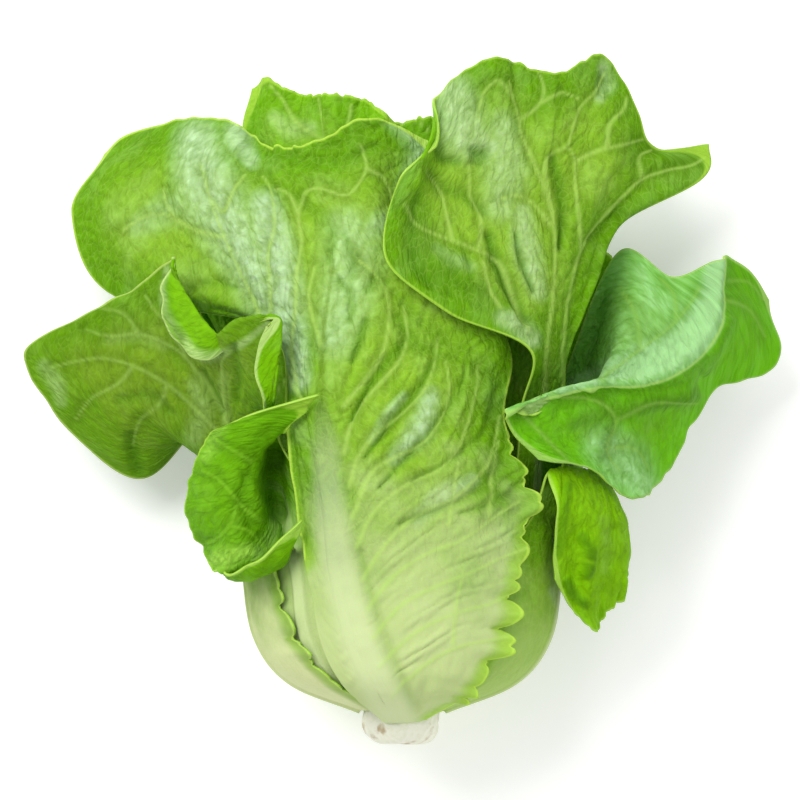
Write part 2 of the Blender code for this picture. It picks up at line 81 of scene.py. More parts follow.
stem_low, stem_high = (Vector(corner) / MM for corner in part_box("cut_stem"))
SHIFT = np.array([
    (stem_low.x + stem_high.x) / 2 - AXIS_X,
    stem_low.y - BUTT_Y,
    (stem_low.z + stem_high.z) / 2 - AXIS_Z,
])


def plan(points):
    """Points of the drawing as x and y in millimetres."""
    points = np.asarray(points, float)
    return np.stack([UNIT * (points[:, 0] - MIDDLE), UNIT * (MIDDLE - points[:, 1])], axis=1)


print("drawing to model, mm:", SHIFT.round(2))

# %% [markdown]
# ## Camera, floor and light
#
# A cut head doesn't stand, so it lies on its back and the camera looks straight down on it. A long
# lens from four metres away keeps the view nearly parallel. The floor is a plain pale sheet that
# glows a little, like a light table. Two large soft lamps and a bright sky leave few hard shadows.

# %% Camera
CAMERA_DISTANCE = 4.0
SHARP_PLANE = 48.0
SENSOR = 36.0
FIELD = 0.32

lens = bpy.data.cameras.new("camera")
lens.sensor_width = SENSOR
lens.lens = SENSOR * CAMERA_DISTANCE / FIELD
lens.clip_end = 50
camera = bpy.data.objects.new("camera", lens)
camera.location = (*(SHIFT[:2] * MM), (SHARP_PLANE + SHIFT[2]) * MM + CAMERA_DISTANCE)
bpy.context.scene.collection.objects.link(camera)
bpy.context.scene.camera = camera
print("lens:", round(lens.lens), "mm, seen from", CAMERA_DISTANCE, "m above")

# %% Floor
FLOOR_HALF = 3.0
FLOOR_GAP = 0.0004

floor_shape = bmesh.new()
bmesh.ops.create_grid(floor_shape, x_segments=1, y_segments=1, size=FLOOR_HALF)
floor_mesh = bpy.data.meshes.new("floor")
floor_shape.to_mesh(floor_mesh)
floor_shape.free()
floor = bpy.data.objects.new("floor", floor_mesh)
floor.location.z = cad_low.z - FLOOR_GAP
paper = bpy.data.materials.new("white_paper")
paper.use_nodes = True
paper_shader = paper.node_tree.nodes["Principled BSDF"]
paper_shader.inputs["Base Color"].default_value = (0.93, 0.93, 0.93, 1)
paper_shader.inputs["Roughness"].default_value = 0.9
paper_shader.inputs["Emission Color"].default_value = (1, 1, 1, 1)
paper_shader.inputs["Emission Strength"].default_value = 0.2
floor_mesh.materials.append(paper)
bpy.context.scene.collection.objects.link(floor)
print("floor:", 2 * FLOOR_HALF, "m wide")


# %% Light
def soft_lamp(name, place, size, power):
    """A square area lamp that faces the head."""
    lamp = bpy.data.lights.new(name, "AREA")
    lamp.size = size
    lamp.energy = power
    holder = bpy.data.objects.new(name, lamp)
    holder.location = place
    holder.rotation_euler = (-Vector(place)).to_track_quat("-Z", "Y").to_euler()
    bpy.context.scene.collection.objects.link(holder)


soft_lamp("key", (-0.75, 0.9, 1.5), 1.1, 30)
soft_lamp("fill", (1.1, -0.5, 1.4), 1.4, 8)
sky = bpy.data.worlds.new("light_tent")
sky.use_nodes = True
sky.node_tree.nodes["Background"].inputs["Color"].default_value = (1, 1, 1, 1)
sky.node_tree.nodes["Background"].inputs["Strength"].default_value = 0.62
bpy.context.scene.world = sky
bpy.context.scene.view_settings.view_transform = "Standard"
print(len(bpy.data.lights), "lamps in the light tent")

# %% [markdown]
# ## The shape of a leaf
#
# A leaf is a smooth sheet carried through a coarse cage of points. The lower rows of the cage lie
# on the leaf's own shell of a nested egg shape, so that neighbours never touch there. The upper
# rows, its crown, say how far it opens. A Catmull-Rom curve runs through every point, first along
# the leaf and then across it, which gives as fine a sheet as one likes from a few dozen points.

# %% Nested shells round the stem
BELLY_Y = -68.0
HALF_WIDTH, HALF_DEPTH, BODY_TALL = 65.5, 50.6, 60.0
BLUNT = 0.84
SHELL_GAP_SIDE, SHELL_GAP_FOOT = 2.6, 3.5
STEM_RADIUS, STEM_TIP_RADIUS, STEM_TOP_Y = 15.5, 5.0, -78.0
LEAF_FOOT_GAP = 2.2
FOOT_RISES = (42.0, 66.0, 90.0)
FOOT_SHARES = (0.30, 0.70, 1.0)


def shell_point(level, turn, rise):
    """A point of a nested shell. turn is degrees round the head's axis, from +X towards +Z, and
    rise is degrees from the stem (0) to the belly (90)."""
    wide = HALF_WIDTH - SHELL_GAP_SIDE * level
    deep = HALF_DEPTH - SHELL_GAP_SIDE * level
    tall = BODY_TALL - SHELL_GAP_FOOT * level
    out = math.sin(math.radians(rise)) ** BLUNT
    along = math.cos(math.radians(rise))
    flattened = 1 - (1 - deep / wide) * out**2
    side = math.radians(turn)
    return (
        AXIS_X + wide * out * math.cos(side),
        BELLY_Y - tall * math.copysign(abs(along) ** BLUNT, along),
        AXIS_Z + wide * out * math.sin(side) * flattened,
    )


def stem_radius_at(y):
    share = min(1.0, max(0.0, (y - BUTT_Y) / (STEM_TOP_Y - BUTT_Y)))
    return STEM_RADIUS + (STEM_TIP_RADIUS - STEM_RADIUS) * share**2


def foot_rows(leaf, columns):
    """The rows of a leaf's cage from the stem to the belly, on the leaf's own shell."""
    level = leaf["level"]
    foot_turn, belly_turn = leaf["rib"]
    first, last = leaf["span"]
    foot_first, foot_last = leaf["foot"]
    wide = HALF_WIDTH - SHELL_GAP_SIDE * level
    pole_y = BELLY_Y - (BODY_TALL - SHELL_GAP_FOOT * level)
    hole = (stem_radius_at(pole_y) + LEAF_FOOT_GAP) / wide
    start = math.degrees(math.asin(hole ** (1 / BLUNT)))
    rows = []
    for rise, share in zip((start, *FOOT_RISES), (0.0, *FOOT_SHARES)):
        rib = foot_turn + (belly_turn - foot_turn) * share
        near = foot_first * (1 - share) + first * share
        far = foot_last * (1 - share) + last * share
        row = []
        for column in range(columns):
            across = 2 * column / (columns - 1) - 1
            reach = near - rib if across < 0 else far - rib
            row.append(shell_point(level, rib + reach * abs(across), rise))
        rows.append(row)
    return rows


print("top of the outermost shell, mm:", [round(s) for s in shell_point(0, 90, 90)])

# %% [markdown]
# Inner leaves are plain: their crowns follow from a few facts, such as where the tip is, how wide
# it is and which way it heads. The leaves of the heart stay on their shells, which close over the
# bud. The open outer leaves are all different, so each has rows of its own.

# %% Crowns that follow a rule
PLAIN_COLUMNS, PLAIN_ROWS = 7, 4
TOP_ARCH, TOP_ROUND, CROWN_RUN = 80.0, 0.7, 0.8
HEART_NARROWING, HEART_ROUND = 0.35, 16.0


def open_crown(belly_row, leaf):
    """Crown rows of a plain leaf: they run from the belly row to an arched top margin."""
    ahead = np.array(leaf["heading"], float)
    ahead /= np.linalg.norm(ahead)
    side = np.array(leaf["side"], float)
    lift = np.array(leaf["lift"], float)
    centre = np.array(leaf["top"], float)
    half_width = leaf["half_width"]
    run = CROWN_RUN * np.linalg.norm(centre - np.mean(belly_row, axis=0))
    made = []
    for step in range(1, PLAIN_ROWS + 1):
        s = step / PLAIN_ROWS
        stay, leave = 2 * s**3 - 3 * s**2 + 1, s**3 - 2 * s**2 + s
        come, arrive = 3 * s**2 - 2 * s**3, s**3 - s**2
        row = []
        for column, start in enumerate(belly_row):
            across = 2 * column / (PLAIN_COLUMNS - 1) - 1
            swing = across * math.radians(TOP_ARCH)
            end = (
                centre
                - side * half_width * math.sin(swing)
                - ahead * half_width * TOP_ROUND * (1 - math.cos(swing))
                + lift * across**2
            )
            row.append(stay * np.array(start) + leave * np.array([0, run, 0])
                       + come * end + arrive * ahead * run)
        made.append(row)
    return made


def closing_crown(leaf):
    """Crown rows of a heart leaf: they stay on its shell, which closes towards the tip."""
    tall, last_rise = leaf["closing"]
    rib = leaf["rib"][1]
    first, last = leaf["span"]
    made = []
    for step in range(1, PLAIN_ROWS + 1):
        share = step / PLAIN_ROWS
        row = []
        for column in range(PLAIN_COLUMNS):
            across = 2 * column / (PLAIN_COLUMNS - 1) - 1
            reach = (first - rib if across < 0 else last - rib) * (1 - HEART_NARROWING * share**2)
            rise = 90 + (last_rise - 90) * share - HEART_ROUND * across**2 * share
            x, y, z = shell_point(leaf["level"], rib + reach * abs(across), rise)
            row.append((x, BELLY_Y - tall * math.cos(math.radians(rise)), z))
        made.append(row)
    return made


# %% Crowns of the open outer leaves
# Rows from the belly to the top margin: the x, the y and the z of each point, from one side margin
# to the other, or one number where they share it. A row in square brackets gives each point as
# drawn: its place on the drawing, right and down, and its z in mm.
FRONT_CROWN = [
    ((-41, -36, -31, -26, -4, 24, 51), -40, (88, 93, 97, 100, 102, 98, 84)),
    ((-45, -41, -37, -33, -10, 18, 42), (-8, -8, -6, -5, -4, -5, -8), (84, 90, 93, 95, 100, 98, 87)),
    ((-54, -49, -43, -36, -12, 18, 45), (28, 28, 29, 30, 30, 26, 20), (72, 79, 85, 90, 96, 93, 79)),
    ((-116, -90, -64, -40, -16, 6, 30), (42, 50, 58, 60, 60, 56, 44), (36, 52, 70, 84, 90, 88, 77)),
    ((-132, -104, -76, -50, -24, 0, 20), (75, 84, 87, 88, 88, 86, 78), (30, 44, 60, 73, 82, 82, 74)),
    ((-119, -94, -68, -48, -32, -10, 13), (99, 112, 111, 100, 104, 112, 102), (28, 38, 52, 66, 76, 80, 76)),
]
UPPER_RIGHT_CROWN = [
    ((44, 47, 51, 54, 57, 59, 60), -36, (74, 71, 67, 63, 58, 53, 48)),
    ((48, 51, 54, 57, 60, 63, 65), (-4, -3, -2, -1, -1, -1, -1), (76, 74, 72, 70, 67, 64, 61)),
    ((52, 55, 58, 61, 64, 66, 68), (20, 21, 21, 21, 20, 20, 20), (90, 84, 78, 74, 70, 66, 62)),
    ((19, 34, 48, 60, 67, 73, 77), (35, 44, 47, 46, 46, 46, 46), (101, 94, 84, 76, 70, 64, 59)),
    ((-5, 12, 36, 57, 72, 82, 88), (55, 74, 80, 78, 76, 73, 71), (103, 92, 82, 76, 70, 62, 55)),
    ((0, 17, 38, 60, 78, 96, 121), (86, 104, 108, 108, 104, 96, 89), (98, 88, 78, 72, 66, 56, 43)),
    ((14, 18, 38, 62, 83, 100, 123), (101, 124, 136, 130, 137, 103, 102), (95, 82, 74, 68, 60, 54, 41)),
]
RIGHT_CROWN = [
    ((61, 65, 67, 68, 66, 59, 47), -40, (67, 59, 50, 40, 31, 23, 17)),
    ((69, 74, 78, 81, 82, 78, 70), (-8, -6, -1, 5, 10, 15, 20), (80, 70, 59, 50, 41, 34, 28)),
    ((60, 68, 78, 86, 91, 92, 88), (-3, 0, 7, 18, 30, 44, 60), (92, 82, 70, 60, 52, 46, 41)),
    ((50, 64, 79, 93, 104, 110, 109), (-6, 1, 7, 16, 25, 38, 49), (98, 91, 80, 70, 61, 54, 47)),
    [(507, 410, 100), (550, 392, 97), (592, 381, 90), (640, 376, 80), (682, 352, 72), (712, 312, 65),
     (716, 262, 55)],
    [(503, 414, 101), (546, 398, 97), (592, 388, 90), (648, 384, 79), (694, 362, 70), (721, 318, 62),
     (724, 257, 52)],
    [(504, 419, 98), (548, 404, 94), (596, 395, 86), (654, 393, 73), (703, 369, 63), (731, 320, 56),
     (731, 260, 48)],
    [(517, 438, 95), (560, 434, 90), (610, 433, 81), (657, 424, 67), (700, 382, 55), (745, 332, 45),
     (752, 270, 43)],
    [(538, 460, 91), (588, 468, 83), (630, 498, 70), (668, 472, 55), (708, 396, 44), (776, 366, 26),
     (772, 300, 32)],
]
LOW_RIGHT_CROWN = [
    ((52, 60, 66, 69, 70, 69, 66), (-46, -46, -46, -46, -46, -47, -48), (80, 74, 67, 59, 50, 41, 32)),
    ((58, 64, 71, 77, 81, 81, 77), (-29, -27, -27, -28, -31, -36, -42), (82, 78, 72, 65, 57, 48, 39)),
    ((61, 68, 77, 85, 90, 90, 84), (-42, -42, -43, -45, -48, -52, -56), (86, 83, 78, 71, 62, 52, 43)),
    ((61, 67, 75, 84, 91, 90, 83), (-60, -65, -68, -68, -68, -70, -70), (80, 77, 73, 67, 58, 49, 42)),
    ((61, 69, 78, 82, 88, 88, 82), (-71, -84, -92, -86, -78, -76, -78), (76, 69, 62, 60, 54, 47, 41)),
]
LEFT_CROWN = [
    ((-56, -60, -63, -64, -64, -63, -61, -58, -55), (-42, -42, -42, -42, -42, -42, -42, -43, -44),
     (27, 33, 39, 45, 50, 56, 61, 66, 71)),
    ((-76, -78, -77, -75, -72, -68, -63, -52, -53), (-26, -24, -22, -20, -18, -16, -15, -12, -13),
     (39, 44, 49, 54, 58, 62, 66, 72, 76)),
    [(195, 445, 39), (172, 437, 43), (150, 420, 46), (140, 402, 49), (146, 384, 53), (160, 370, 58),
     (176, 360, 63), (192, 360, 68), (206, 366, 73), (222, 374, 77), (238, 380, 81), (252, 386, 85),
     (264, 392, 88), (278, 398, 92), (264, 404, 91)],
    [(193, 440, 37), (160, 446, 38), (128, 432, 40), (105, 402, 44), (108, 370, 48), (130, 345, 54),
     (158, 325, 62), (180, 315, 70), (194, 325, 78), (212, 345, 85), (230, 350, 91), (248, 350, 94),
     (268, 350, 96), (280, 360, 98), (257, 368, 97)],
    [(193, 436, 35), (152, 460, 33), (108, 443, 36), (75, 400, 40), (72, 360, 43), (104, 325, 50),
     (145, 302, 60), (176, 280, 72), (188, 295, 80), (203, 322, 87), (220, 335, 94), (244, 322, 98),
     (272, 318, 99), (282, 326, 100), (264, 334, 100)],
    [(194, 431, 33), (140, 477, 28), (85, 447, 33), (45, 402, 35), (24, 352, 35), (78, 318, 46),
     (128, 292, 57), (176, 258, 72), (162, 290, 74), (173, 335, 76), (206, 359, 84), (235, 344, 93),
     (256, 324, 98), (274, 320, 100), (270, 326, 101)],
]
LOW_LEFT_CROWN = [
    [(292, 550, 79), (285, 543, 75), (282, 528, 71), (280, 508, 68), (280, 488, 68), (280, 470, 69),
     (280, 457, 72), (282, 450, 76), (285, 445, 80)],
    [(295, 548, 86), (280, 552, 84), (267, 540, 83), (262, 518, 84), (260, 495, 85), (260, 470, 86),
     (265, 450, 88), (275, 438, 90), (288, 430, 93)],
    [(297, 538, 91), (274, 564, 87), (250, 558, 88), (238, 530, 91), (234, 500, 92), (236, 470, 93),
     (246, 445, 95), (268, 424, 97), (306, 412, 97)],
    [(300, 526, 95), (264, 572, 90), (236, 578, 82), (216, 545, 83), (210, 505, 85), (212, 468, 88),
     (226, 440, 92), (258, 416, 98), (312, 405, 100)],
    [(302, 515, 98), (255, 562, 96), (224, 574, 84), (200, 548, 72), (190, 505, 73), (196, 465, 78),
     (208, 437, 85), (245, 416, 97), (319, 397, 103)],
]
FRONT_INNER_CROWN = [
    ((-34, -25, -15, -5, 5, 14, 23), -20, (80, 84, 86, 87, 87, 86, 84)),
    ((-46, -36, -25, -14, -3, 8, 17), 30, (66, 74, 79, 81, 81, 80, 79)),
    ((-58, -48, -37, -26, -14, -2, 8), (76, 76, 78, 80, 80, 78, 74), (50, 57, 63, 67, 69, 70, 70)),
    ((-62, -53, -42, -30, -18, -8, 1), (104, 106, 108, 108, 108, 106, 100), (42, 47, 53, 58, 62, 65, 67)),
    ((-60, -53, -42, -30, -18, -9, -2), (125, 129, 123, 122, 121, 117, 110), (38, 43, 49, 55, 59, 62, 65)),
]
BACK_CROWN = [
    ((57, 40, 20, 0, -20, -40, -57), -30, (13, 5, 1.2, 0.4, 1.2, 5, 13)),
    ((63, 44, 22, 0, -22, -44, -63), (10, 12, 12, 12, 12, 12, 10), (10, 3.5, 1.5, 1.5, 1.5, 3.5, 10)),
    ((67, 48, 24, 0, -24, -48, -67), (50, 54, 56, 56, 56, 54, 50), (8, 2.6, 2.6, 3.5, 2.6, 2.6, 8)),
    ((62, 44, 22, 0, -22, -44, -62), (82, 92, 98, 98, 98, 92, 82), (5, -0.8, 3.5, 6, 3.5, -2.2, 5)),
    ((50, 38, 20, 0, -20, -38, -50), (98, 109, 114, 112, 114, 109, 98), (8, 5, 7, 10, 7, 5, 8)),
]


# %% From a cage to a sheet
def through(points, shares):
    """A Catmull-Rom curve through the points, read at shares from 0 to 1."""
    points = np.asarray(points, float)
    ends = [2 * points[0] - points[1]], [2 * points[-1] - points[-2]]
    padded = np.concatenate([ends[0], points, ends[1]])
    place = np.asarray(shares) * (len(points) - 1)
    span = np.minimum(place.astype(int), len(points) - 2)
    t = (place - span).reshape(-1, *[1] * (points.ndim - 1))
    a, b, c, d = (padded[span + k] for k in range(4))
    return b + 0.5 * t * ((c - a) + t * ((2 * a - 5 * b + 4 * c - d) + t * (3 * (b - c) + d - a)))


def crown_row(row):
    """The points of a crown row in millimetres."""
    if isinstance(row, list):
        return np.array([(UNIT * (right - MIDDLE), UNIT * (MIDDLE - down), z) for right, down, z in row])
    return np.stack(np.broadcast_arrays(*row), axis=1)


def leaf_cage(leaf):
    """Every row of a leaf's cage, from its foot to its top margin. Rows with few points are
    spaced out to the leaf's longest row."""
    if "crown" in leaf:
        rows = [crown_row(row) for row in leaf["crown"]]
        columns = max(len(row) for row in rows)
        crown = [through(row, np.linspace(0, 1, columns)) for row in rows]
        foot = foot_rows(leaf, columns)
    else:
        foot = foot_rows(leaf, PLAIN_COLUMNS)
        crown = closing_crown(leaf) if "closing" in leaf else open_crown(foot[-1], leaf)
    return np.array(foot + list(crown), float)


def smooth(low, high, value):
    """0 below low, 1 above high, and an S-curve between them."""
    share = np.clip((value - low) / (high - low), 0, 1)
    return share**2 * (3 - 2 * share)


# %% [markdown]
# ## Ruffles, veins and blisters
#
# A lettuce blade grows faster at its margin than at its midrib, so the margin has to ruffle. The
# same happens between the veins, where the tissue swells into blisters. The relief is worked out
# on the sheet itself: how far a point is from the margin, from the nearest vein and from the
# nearest edge of a blister. The same numbers are kept with the mesh, because the finish needs them.

# %% Wavy margin
MARGIN_START, MARGIN_SQUARE, TIP_TURN = 0.62, 6, 0.8
SECOND_WAVE = (0.45, 1.73, 2.1, 0.7)
RUFFLE_START, RUFFLE_FULL = 0.42, 0.67
SCALLOP_REACH, FRILL_REACH = 5, 6
FRILL_FADE, LOBE_ROUND, LOBE_SET_BACK = 0.05, 0.6, 0.2


def ruffle_height(leaf, across, along):
    """How far the wavy margin stands off the smooth sheet."""
    amount, waves, phase = leaf["ruffle"]
    size, rate, phase_rate, offset = SECOND_WAVE
    near = (np.abs(across) ** MARGIN_SQUARE + along**MARGIN_SQUARE) ** (1 / MARGIN_SQUARE)
    round_edge = across + np.sign(across) * (1 - along) * TIP_TURN
    wave = np.sin(round_edge * waves * math.pi + phase)
    wave += size * np.sin(round_edge * waves * rate * math.pi + phase_rate * phase + offset)
    free = np.clip((along - RUFFLE_START) / (RUFFLE_FULL - RUFFLE_START), 0, 1)
    return amount * smooth(MARGIN_START, 1, near) * wave * free


def fine_ruffle(leaf, round_way, edge, free):
    """The short waves close to the margin, of uneven length and height."""
    amount, length, reach = leaf.get("frill", (0.7, 13, 7))
    phase = leaf["ruffle"][2]
    wander = 1.6 * np.sin(round_way / 31 + phase) + 0.9 * np.sin(round_way / 17 + 2 * phase)
    wave = np.sin(2 * math.pi * round_way / length + wander)
    wave += 0.5 * np.sin(2 * math.pi * round_way / (0.57 * length) + 1.7 * wander)
    swell = 0.65 + 0.35 * np.sin(round_way / 23 + 3 * phase)
    return amount * wave * swell * np.exp(-edge / reach) * free


def scallops(leaf, sheet, round_way, to_side, to_top, along, v):
    """How the margin's outline runs in and out, and the frills that stand up from a side."""
    ahead = np.gradient(sheet, axis=0)
    aside = np.gradient(sheet, axis=1)
    for way in (ahead, aside):
        way /= np.linalg.norm(way, axis=2, keepdims=True)
    aside *= np.sign(round_way)[..., None]
    up = np.cross(np.gradient(sheet, axis=1), np.gradient(sheet, axis=0))
    up /= np.linalg.norm(up, axis=2, keepdims=True)
    wave = np.sin(round_way / 1.9 + 3 * np.sin(round_way / 13)) + 0.6 * np.sin(round_way / 0.9)
    amount = leaf.get("scallop", 0.5) * wave * (0.4 + 0.6 * np.sin(round_way / 8.3) ** 2)
    near_top = np.exp(-to_top / SCALLOP_REACH) * amount
    near_side = np.exp(-to_side / SCALLOP_REACH) * amount * smooth(0.3, 0.5, along)
    moved = ahead * near_top[..., None] + aside * near_side[..., None]
    for side, start, end, length, outward, upward in leaf.get("side_frills", ()):
        here = smooth(start, start + FRILL_FADE, along) * (1 - smooth(end - FRILL_FADE, end, along))
        chosen = (np.sign(round_way) == side) * here * np.exp(-to_side / FRILL_REACH)
        turn = 2 * math.pi * v / length
        wander = turn + 1.5 * np.sin(turn / 3.1) + 0.05 * to_side
        lobes = 2 * np.abs(np.sin(wander / 2)) ** LOBE_ROUND - 1
        uneven = 0.65 + 0.35 * np.sin(turn / 2.7 + 1)
        moved += aside * (outward * (lobes * uneven - LOBE_SET_BACK) * chosen)[..., None]
        moved += up * (upward * (0.5 - 0.5 * np.cos(wander)) * uneven * chosen)[..., None]
    return moved


# %% Blisters
def blisters(u, v, size, seed):
    """How far each point is inside its blister: 0 at its edge and about 1 in its middle."""
    table = np.random.default_rng(seed).random((64, 64, 2))
    column, row = np.floor(u / size[0]), np.floor(v / size[1])
    nearest = np.full(u.shape, 9.0)
    second = np.full(u.shape, 9.0)
    for aside in (-1, 0, 1):
        for ahead in (-1, 0, 1):
            i, j = (column + aside).astype(int), (row + ahead).astype(int)
            seat = table[i % 64, j % 64]
            away = np.hypot(u / size[0] - i - seat[..., 0], v / size[1] - j - seat[..., 1])
            second = np.minimum(second, np.maximum(nearest, away))
            nearest = np.minimum(nearest, away)
    return smooth(0.0, 0.55, second - nearest)


# %% Drawn lines
def along_line(x, y, points, widths):
    """Distance to a smooth line through the points: as a share of its half width, and plain."""
    steps = 6 * (len(points) - 1) + 1
    shares = np.linspace(0, 1, steps)
    line = through(plan(points), shares)
    half = np.interp(shares, np.linspace(0, 1, len(widths)), widths)
    share = np.full(x.shape, 99.0)
    plain = np.full(x.shape, 99.0)
    for start, end, near, far in zip(line, line[1:], half, half[1:]):
        way = end - start
        t = np.clip(((x - start[0]) * way[0] + (y - start[1]) * way[1]) / (way @ way), 0, 1)
        gap = np.hypot(x - start[0] - t * way[0], y - start[1] - t * way[1])
        share = np.minimum(share, gap / (near + (far - near) * t))
        plain = np.minimum(plain, gap)
    return share, plain


def stroke(x, y, points, widths, power=1.0):
    """A soft brush stroke along a drawn line: its power on the line and 0 past its half width."""
    share, _ = along_line(x, y, points, widths)
    return power * (1 - smooth(0.0, 1.0, share))


# %% [markdown]
# The midrib of the front leaf is broad and white, and its veins fan out from it. They are drawn on
# the layout, as a botanist would sketch them. Leaves that show less get a rule instead: the
# side veins leave the midrib at a steady slant, at a spacing that wavers a little.

# %% Veins of the front leaf
FRONT_MIDRIB = [(402, 722), (378, 680), (360, 640), (346, 590), (336, 540), (330, 490), (327, 445),
                (323, 410), (323, 370), (325, 335), (329, 300), (335, 262)]
FRONT_MIDRIB_HALF = (8.5, 8.5, 8.5, 8.2, 7.8, 7.2, 6.0, 3.6, 1.6, 1.2, 1.0, 0.8)
FRONT_VEINS = [
    [(305, 402), (284, 368), (270, 332), (255, 302), (239, 268), (226, 238), (213, 203), (203, 166)],
    [(226, 238), (200, 232), (178, 222), (160, 214), (142, 218), (124, 232)],
    [(213, 203), (226, 212), (236, 192), (245, 176)],
    [(178, 222), (166, 206), (162, 188)],
    [(270, 332), (272, 292), (270, 258), (275, 228), (270, 192), (262, 176)],
    [(300, 395), (293, 352), (297, 310), (298, 272), (303, 242), (299, 216), (306, 195), (320, 190),
     (342, 196), (354, 193), (367, 172), (362, 148)],
    [(367, 172), (384, 182), (392, 204)],
    [(299, 216), (290, 196), (274, 190)],
    [(345, 406), (368, 376), (384, 350), (389, 320), (387, 296), (378, 278), (360, 262)],
    [(322, 345), (310, 300), (316, 268)],
    [(345, 452), (352, 424), (366, 400), (386, 378), (402, 358), (408, 334), (404, 306)],
    [(350, 486), (359, 456), (380, 430), (402, 414), (422, 394), (434, 368), (438, 338)],
    [(353, 516), (371, 474), (396, 456), (426, 440), (443, 414), (448, 388), (446, 362)],
    [(357, 546), (376, 508), (406, 484), (438, 470), (456, 448), (466, 424), (474, 392), (478, 366)],
    [(362, 578), (388, 540), (420, 512), (450, 498), (476, 476), (492, 450), (500, 416)],
    [(368, 606), (396, 572), (430, 550), (458, 540), (488, 520), (514, 500)],
    [(374, 634), (402, 602), (440, 582), (470, 570), (500, 556), (522, 546)],
    [(380, 662), (412, 632), (450, 612), (486, 602), (512, 592)],
    [(392, 690), (424, 662), (456, 644), (482, 638), (504, 632)],
    [(448, 524), (452, 496), (457, 462)],
    [(488, 514), (491, 480), (498, 440)],
    [(452, 640), (455, 604), (462, 570)],
]
FRONT_FAN = [FRONT_VEINS[8], *FRONT_VEINS[10:19]]
print(len(FRONT_VEINS), "veins on the front leaf,", len(FRONT_FAN), "of them in its fan")

# %% Veins of the leaves beside it
UPPER_RIGHT_VEINS = [
    [(542, 400), (545, 350), (551, 300), (554, 262), (553, 232), (549, 202), (544, 172), (549, 156),
     (566, 147), (572, 128), (580, 108), (596, 92), (606, 74)],
    [(561, 392), (562, 338), (569, 288), (579, 252), (600, 222), (622, 198), (642, 180), (666, 171),
     (690, 166), (704, 158)],
    [(579, 252), (577, 220), (575, 184), (574, 160), (566, 147)],
    [(576, 162), (600, 151), (626, 144), (642, 139)],
    [(604, 149), (608, 126), (620, 112), (624, 100)],
    [(642, 180), (640, 158), (652, 150)],
    [(549, 210), (541, 182), (530, 156), (520, 134), (517, 116), (511, 98), (508, 84)],
    [(519, 122), (540, 105), (543, 88), (538, 74)],
    [(541, 104), (560, 95), (577, 100)],
    [(511, 98), (496, 84), (482, 96), (478, 112)],
    [(549, 226), (534, 206), (516, 198), (500, 200)],
    [(526, 330), (512, 290), (500, 262), (478, 252), (452, 242), (430, 234), (414, 224), (404, 206)],
    [(452, 242), (446, 214), (440, 190), (424, 172)],
    [(498, 308), (488, 286), (482, 262)],
    [(478, 252), (480, 222), (470, 196), (468, 168)],
]
RIGHT_VEINS = [
    [(520, 412), (548, 442), (566, 462), (572, 488)],
    [(560, 396), (592, 400), (612, 420), (604, 448), (618, 470)],
    [(612, 420), (640, 404), (668, 400), (694, 402)],
    [(604, 448), (630, 448), (646, 468)],
    [(600, 380), (640, 350), (676, 322), (700, 288)],
    [(640, 350), (636, 316), (622, 286)],
    [(676, 322), (674, 296), (660, 280)],
    [(724, 300), (748, 310), (764, 336)],
    [(730, 280), (750, 282), (766, 300)],
]
LOW_RIGHT_VEINS = [
    [(566, 470), (584, 498), (592, 532), (592, 570), (588, 604)],
    [(592, 532), (606, 522), (620, 520)],
    [(592, 552), (608, 548), (622, 552)],
    [(590, 580), (604, 580), (614, 586)],
    [(590, 560), (576, 556), (566, 562)],
    [(588, 516), (572, 520), (560, 534)],
]
LEFT_VEINS = [
    [(236, 436), (217, 404), (202, 378), (187, 357), (168, 344), (140, 334), (112, 336), (86, 330)],
    [(228, 440), (196, 408), (168, 384), (134, 366), (102, 358), (72, 362), (48, 368)],
    [(226, 420), (225, 388), (224, 362), (232, 352)],
    [(187, 357), (176, 330), (160, 314), (146, 296)],
    [(134, 366), (118, 384), (92, 398), (74, 420)],
    [(168, 384), (160, 404), (140, 420), (132, 446)],
    [(140, 334), (126, 314), (104, 308)],
]
LOW_LEFT_VEINS = [
    [(262, 520), (240, 500), (222, 480), (204, 470)],
    [(240, 500), (232, 524), (214, 540), (200, 544)],
    [(252, 460), (236, 450), (220, 440)],
    [(266, 548), (250, 530), (230, 524)],
]
FRONT_INNER_VEINS = [
    [(330, 190), (326, 150), (322, 120), (318, 98)],
    [(326, 150), (346, 130), (352, 106)],
    [(322, 140), (298, 124), (284, 100), (270, 84)],
]

# %% [markdown]
# Each leaf's facts are in one table: its level among the shells, the turn of its midrib at the foot
# and at the belly, the span of turns that it covers, its ruffle, its crown, and its own veins.

